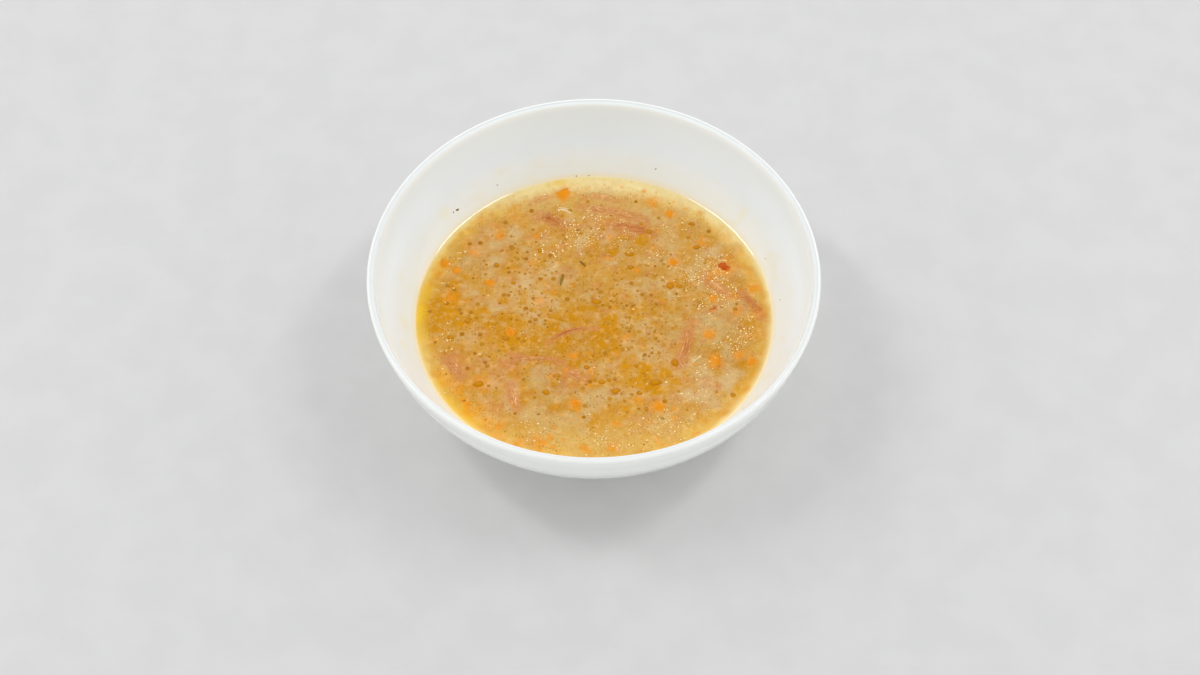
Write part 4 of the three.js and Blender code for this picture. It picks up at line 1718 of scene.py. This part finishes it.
@dataclass(frozen=True)
class Studio:
    """Floor, soft lights and the camera at the photograph's angle."""

    rim_height: float
    mottle: NodeTree
    floor_half: float = 1.6
    elevation: float = math.radians(53.11)
    distance: float = 727 * MM
    aim_right: float = 1.97 * MM
    aim_up: float = -22.65 * MM
    frame_width: int = 1200
    focal_pixels: float = 2200.0
    sensor: float = 36.0
    even_sky: float = 0.2
    low_sky: float = 1.15
    side_sky: float = 0.62
    back_sky: float = 0.25
    strip: tuple[float, float] = (0.17, 0.62)
    strip_power: float = 2.8

    def floor(self) -> None:
        """Lay the floor."""
        half = self.floor_half
        corners = np.array([(-half, -half, 0), (half, -half, 0), (half, half, 0), (-half, half, 0)])
        floor = mesh_piece("floor", corners, [[0, 1, 2, 3]])
        floor.data.materials.append(FloorFinish().build(self.mottle))

    def softbox(self, name: str, place: Vector, along: Vector) -> None:
        """Hang one strip softbox that faces the bowl, its long side along a direction."""
        light = bpy.data.lights.new(name, "AREA")
        light.shape = "RECTANGLE"
        light.size, light.size_y = self.strip
        light.energy = self.strip_power
        lamp = place_object(name, light)
        lamp.location = place
        away = place.normalized()
        across = along.cross(away).normalized()
        lamp.rotation_euler = Matrix((across, away.cross(across), away)).transposed().to_euler()

    def lights(self) -> None:
        """Two strip softboxes that light up the soup's rim, and a sky brighter low down and to the sides."""
        self.softbox("softbox_left", Vector((-0.70, 0.17, 1.14)), Vector((-0.28, 0.40, -0.20)))
        self.softbox("softbox_right", Vector((0.64, 0.12, 1.17)), Vector((0.28, 0.40, -0.20)))
        world = bpy.data.worlds.new("sky")
        world.use_nodes = True
        sheet = NodeSheet(world.node_tree)
        way = sheet.add("ShaderNodeTexCoord").outputs["Generated"]
        toward = sheet.axes(way)
        low = sheet.between(toward["Z"], 0.1, 1.0, self.even_sky + self.low_sky, self.even_sky)
        halfway = sheet.between(toward["Z"], 0.0, 0.5, 0.1 * self.side_sky, 1.05 * self.side_sky)
        side = sheet.times(sheet.math("ABSOLUTE", toward["X"]), halfway)
        back = sheet.times(toward["Y"], self.back_sky)
        strength = sheet.math("ADD", sheet.math("ADD", low, side), back)
        glow = sheet.add("ShaderNodeBackground", {"Color": linear(252, 252, 254), "Strength": strength})
        sheet.add("ShaderNodeOutputWorld", {"Surface": glow.outputs[0]})
        bpy.context.scene.world = world

    def camera(self) -> None:
        """Set the camera as the photograph had it."""
        rim = Vector((0, 0, self.rim_height))
        place = rim + Vector((0, -math.cos(self.elevation), math.sin(self.elevation))) * self.distance
        up = Vector((0, math.sin(self.elevation), math.cos(self.elevation)))
        aim = rim + Vector((self.aim_right, 0, 0)) + up * self.aim_up
        lens = bpy.data.cameras.new("camera")
        lens.sensor_width = self.sensor
        lens.lens = self.focal_pixels / self.frame_width * self.sensor
        lens.clip_start = 0.01
        eye = place_object("camera", lens)
        eye.location = place
        eye.rotation_euler = (aim - place).to_track_quat("-Z", "Y").to_euler()
        bpy.context.scene.camera = eye

    def build(self) -> None:
        """Set the whole stage."""
        self.camera()
        self.lights()
        self.floor()
        bpy.context.scene.view_settings.view_transform = "Standard"


def main() -> None:
    """Build every piece of the dressed part."""
    logging.basicConfig(level=logging.INFO, format="%(name)s: %(message)s")
    _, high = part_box("bowl")
    bowl = BowlForm(rim_radius=high.x, height=high.z)
    soup = SoupForm()
    edge = soup.edge(bowl)
    reach = soup.solid_radius(bowl) / MM
    others = [PEPPER, *DILL_LEAVES]
    carrots = [piece.bit(order) for order, piece in enumerate(CARROT_PIECES, 1)]
    carrots += spread_bits(FINE_BITS, FINE_CARROT, FIRST_CARROT, reach, [*others, *carrots], shown=0.2)
    herbs = spread_bits(FINE_BITS, HERB_FLECK, FIRST_HERB, reach, [*others, *carrots])
    mottle = mottle_group()
    kitchen = Kitchen(bowl, soup, BrothPaint(edge, tuple(carrots)), broth_veil_group(soup.level), mottle)

    Studio(rim_height=bowl.height, mottle=mottle).build()
    Bowl(kitchen).build()
    Broth(kitchen).build()

    def topping(finish: ToppingFinish) -> Material:
        """Build a topping's material with the shared groups."""
        return finish.build(kitchen.veil, mottle)

    veal = topping(ToppingFinish("veal", linear(255, 204, 134), linear(192, 100, 28), 700.0, 0.35 * MM))
    onion = topping(ToppingFinish("onion", linear(250, 228, 178), linear(238, 204, 140), 500.0, 0.25 * MM))
    carrot = topping(ToppingFinish("carrot", linear(246, 158, 18), linear(230, 138, 6), 420.0, 0.3 * MM))
    pepper = topping(ToppingFinish("pepper", linear(212, 99, 18), linear(178, 66, 8), 500.0, 0.3 * MM, 0.12))
    herb = topping(ToppingFinish("herb", linear(206, 150, 50), linear(178, 122, 30), 900.0, 0.15 * MM))
    dill = topping(ToppingFinish("dill", linear(160, 124, 30), linear(134, 98, 16), 900.0, 0.1 * MM))
    # The oil and the beads take a painted shade ring inside their rims.
    oil = OilFinish("oil", linear(210, 142, 0), linear(190, 122, 0), ring=0.5, fade=0.7).build()
    bead = OilFinish("oil_bead", linear(204, 150, 40), linear(176, 116, 8), ring=0.5, fade=0.6).build()
    # Froth: pale partly as tiny bubbles are, and partly as painted glints.
    froth_glint = OilFinish("froth_glint", linear(255, 230, 160), linear(255, 204, 110), 0.1, 0.08, 1.0).build()

    for order, strand in enumerate(VEAL_SHREDS, 1):
        names = f"veal_fibres_{order}", f"veal_shred_{order}"
        FibreBundle(kitchen, strand, *names, "veal", veal, 40 + order).build()
    for order, strand in enumerate(ONION_STRIPS, 1):
        names = f"onion_fibres_{order}", f"onion_strip_{order}"
        FibreBundle(kitchen, strand, *names, "onion", onion, 80 + order, fibre=0.6 * MM).build()
    Chopped(kitchen, "carrot_dice", tuple(carrots), "broth", carrot, 5).build()
    Chopped(kitchen, "pepper_piece", (PEPPER,), "broth", pepper, 6, rise=0.3, roundness=0.9).build()
    Flakes(kitchen, "herb_flecks", herb, 7).on_broth(herbs)
    Flakes(kitchen, "dill_leaves", dill, 9).on_broth(DILL_LEAVES)
    Flakes(kitchen, "wall_flecks", dill, 8).on_wall(WALL_FLECKS)
    tree = scatter_tree()
    StrewnDrops(kitchen, "oil_beads", tree, BEAD_PATCHES, bead, density=260000.0, spacing=0.7 * MM,
                smallest=0.3 * MM, largest=1.1 * MM, seed=1, contact=0.3, everywhere=0.06, sides=12,
                rings=3, edge_gap=5 * MM).build()
    StrewnDrops(kitchen, "froth_beads", tree, GLINT_PATCHES, froth_glint, density=3600000.0, spacing=0.6 * MM,
                smallest=0.13 * MM, largest=0.41 * MM, seed=2, contact=0.75, everywhere=0.007, sides=8,
                rings=2, lift=0.06 * MM).build()
    OilDrops(kitchen, oil).build()


if __name__ == "__main__":
    main()
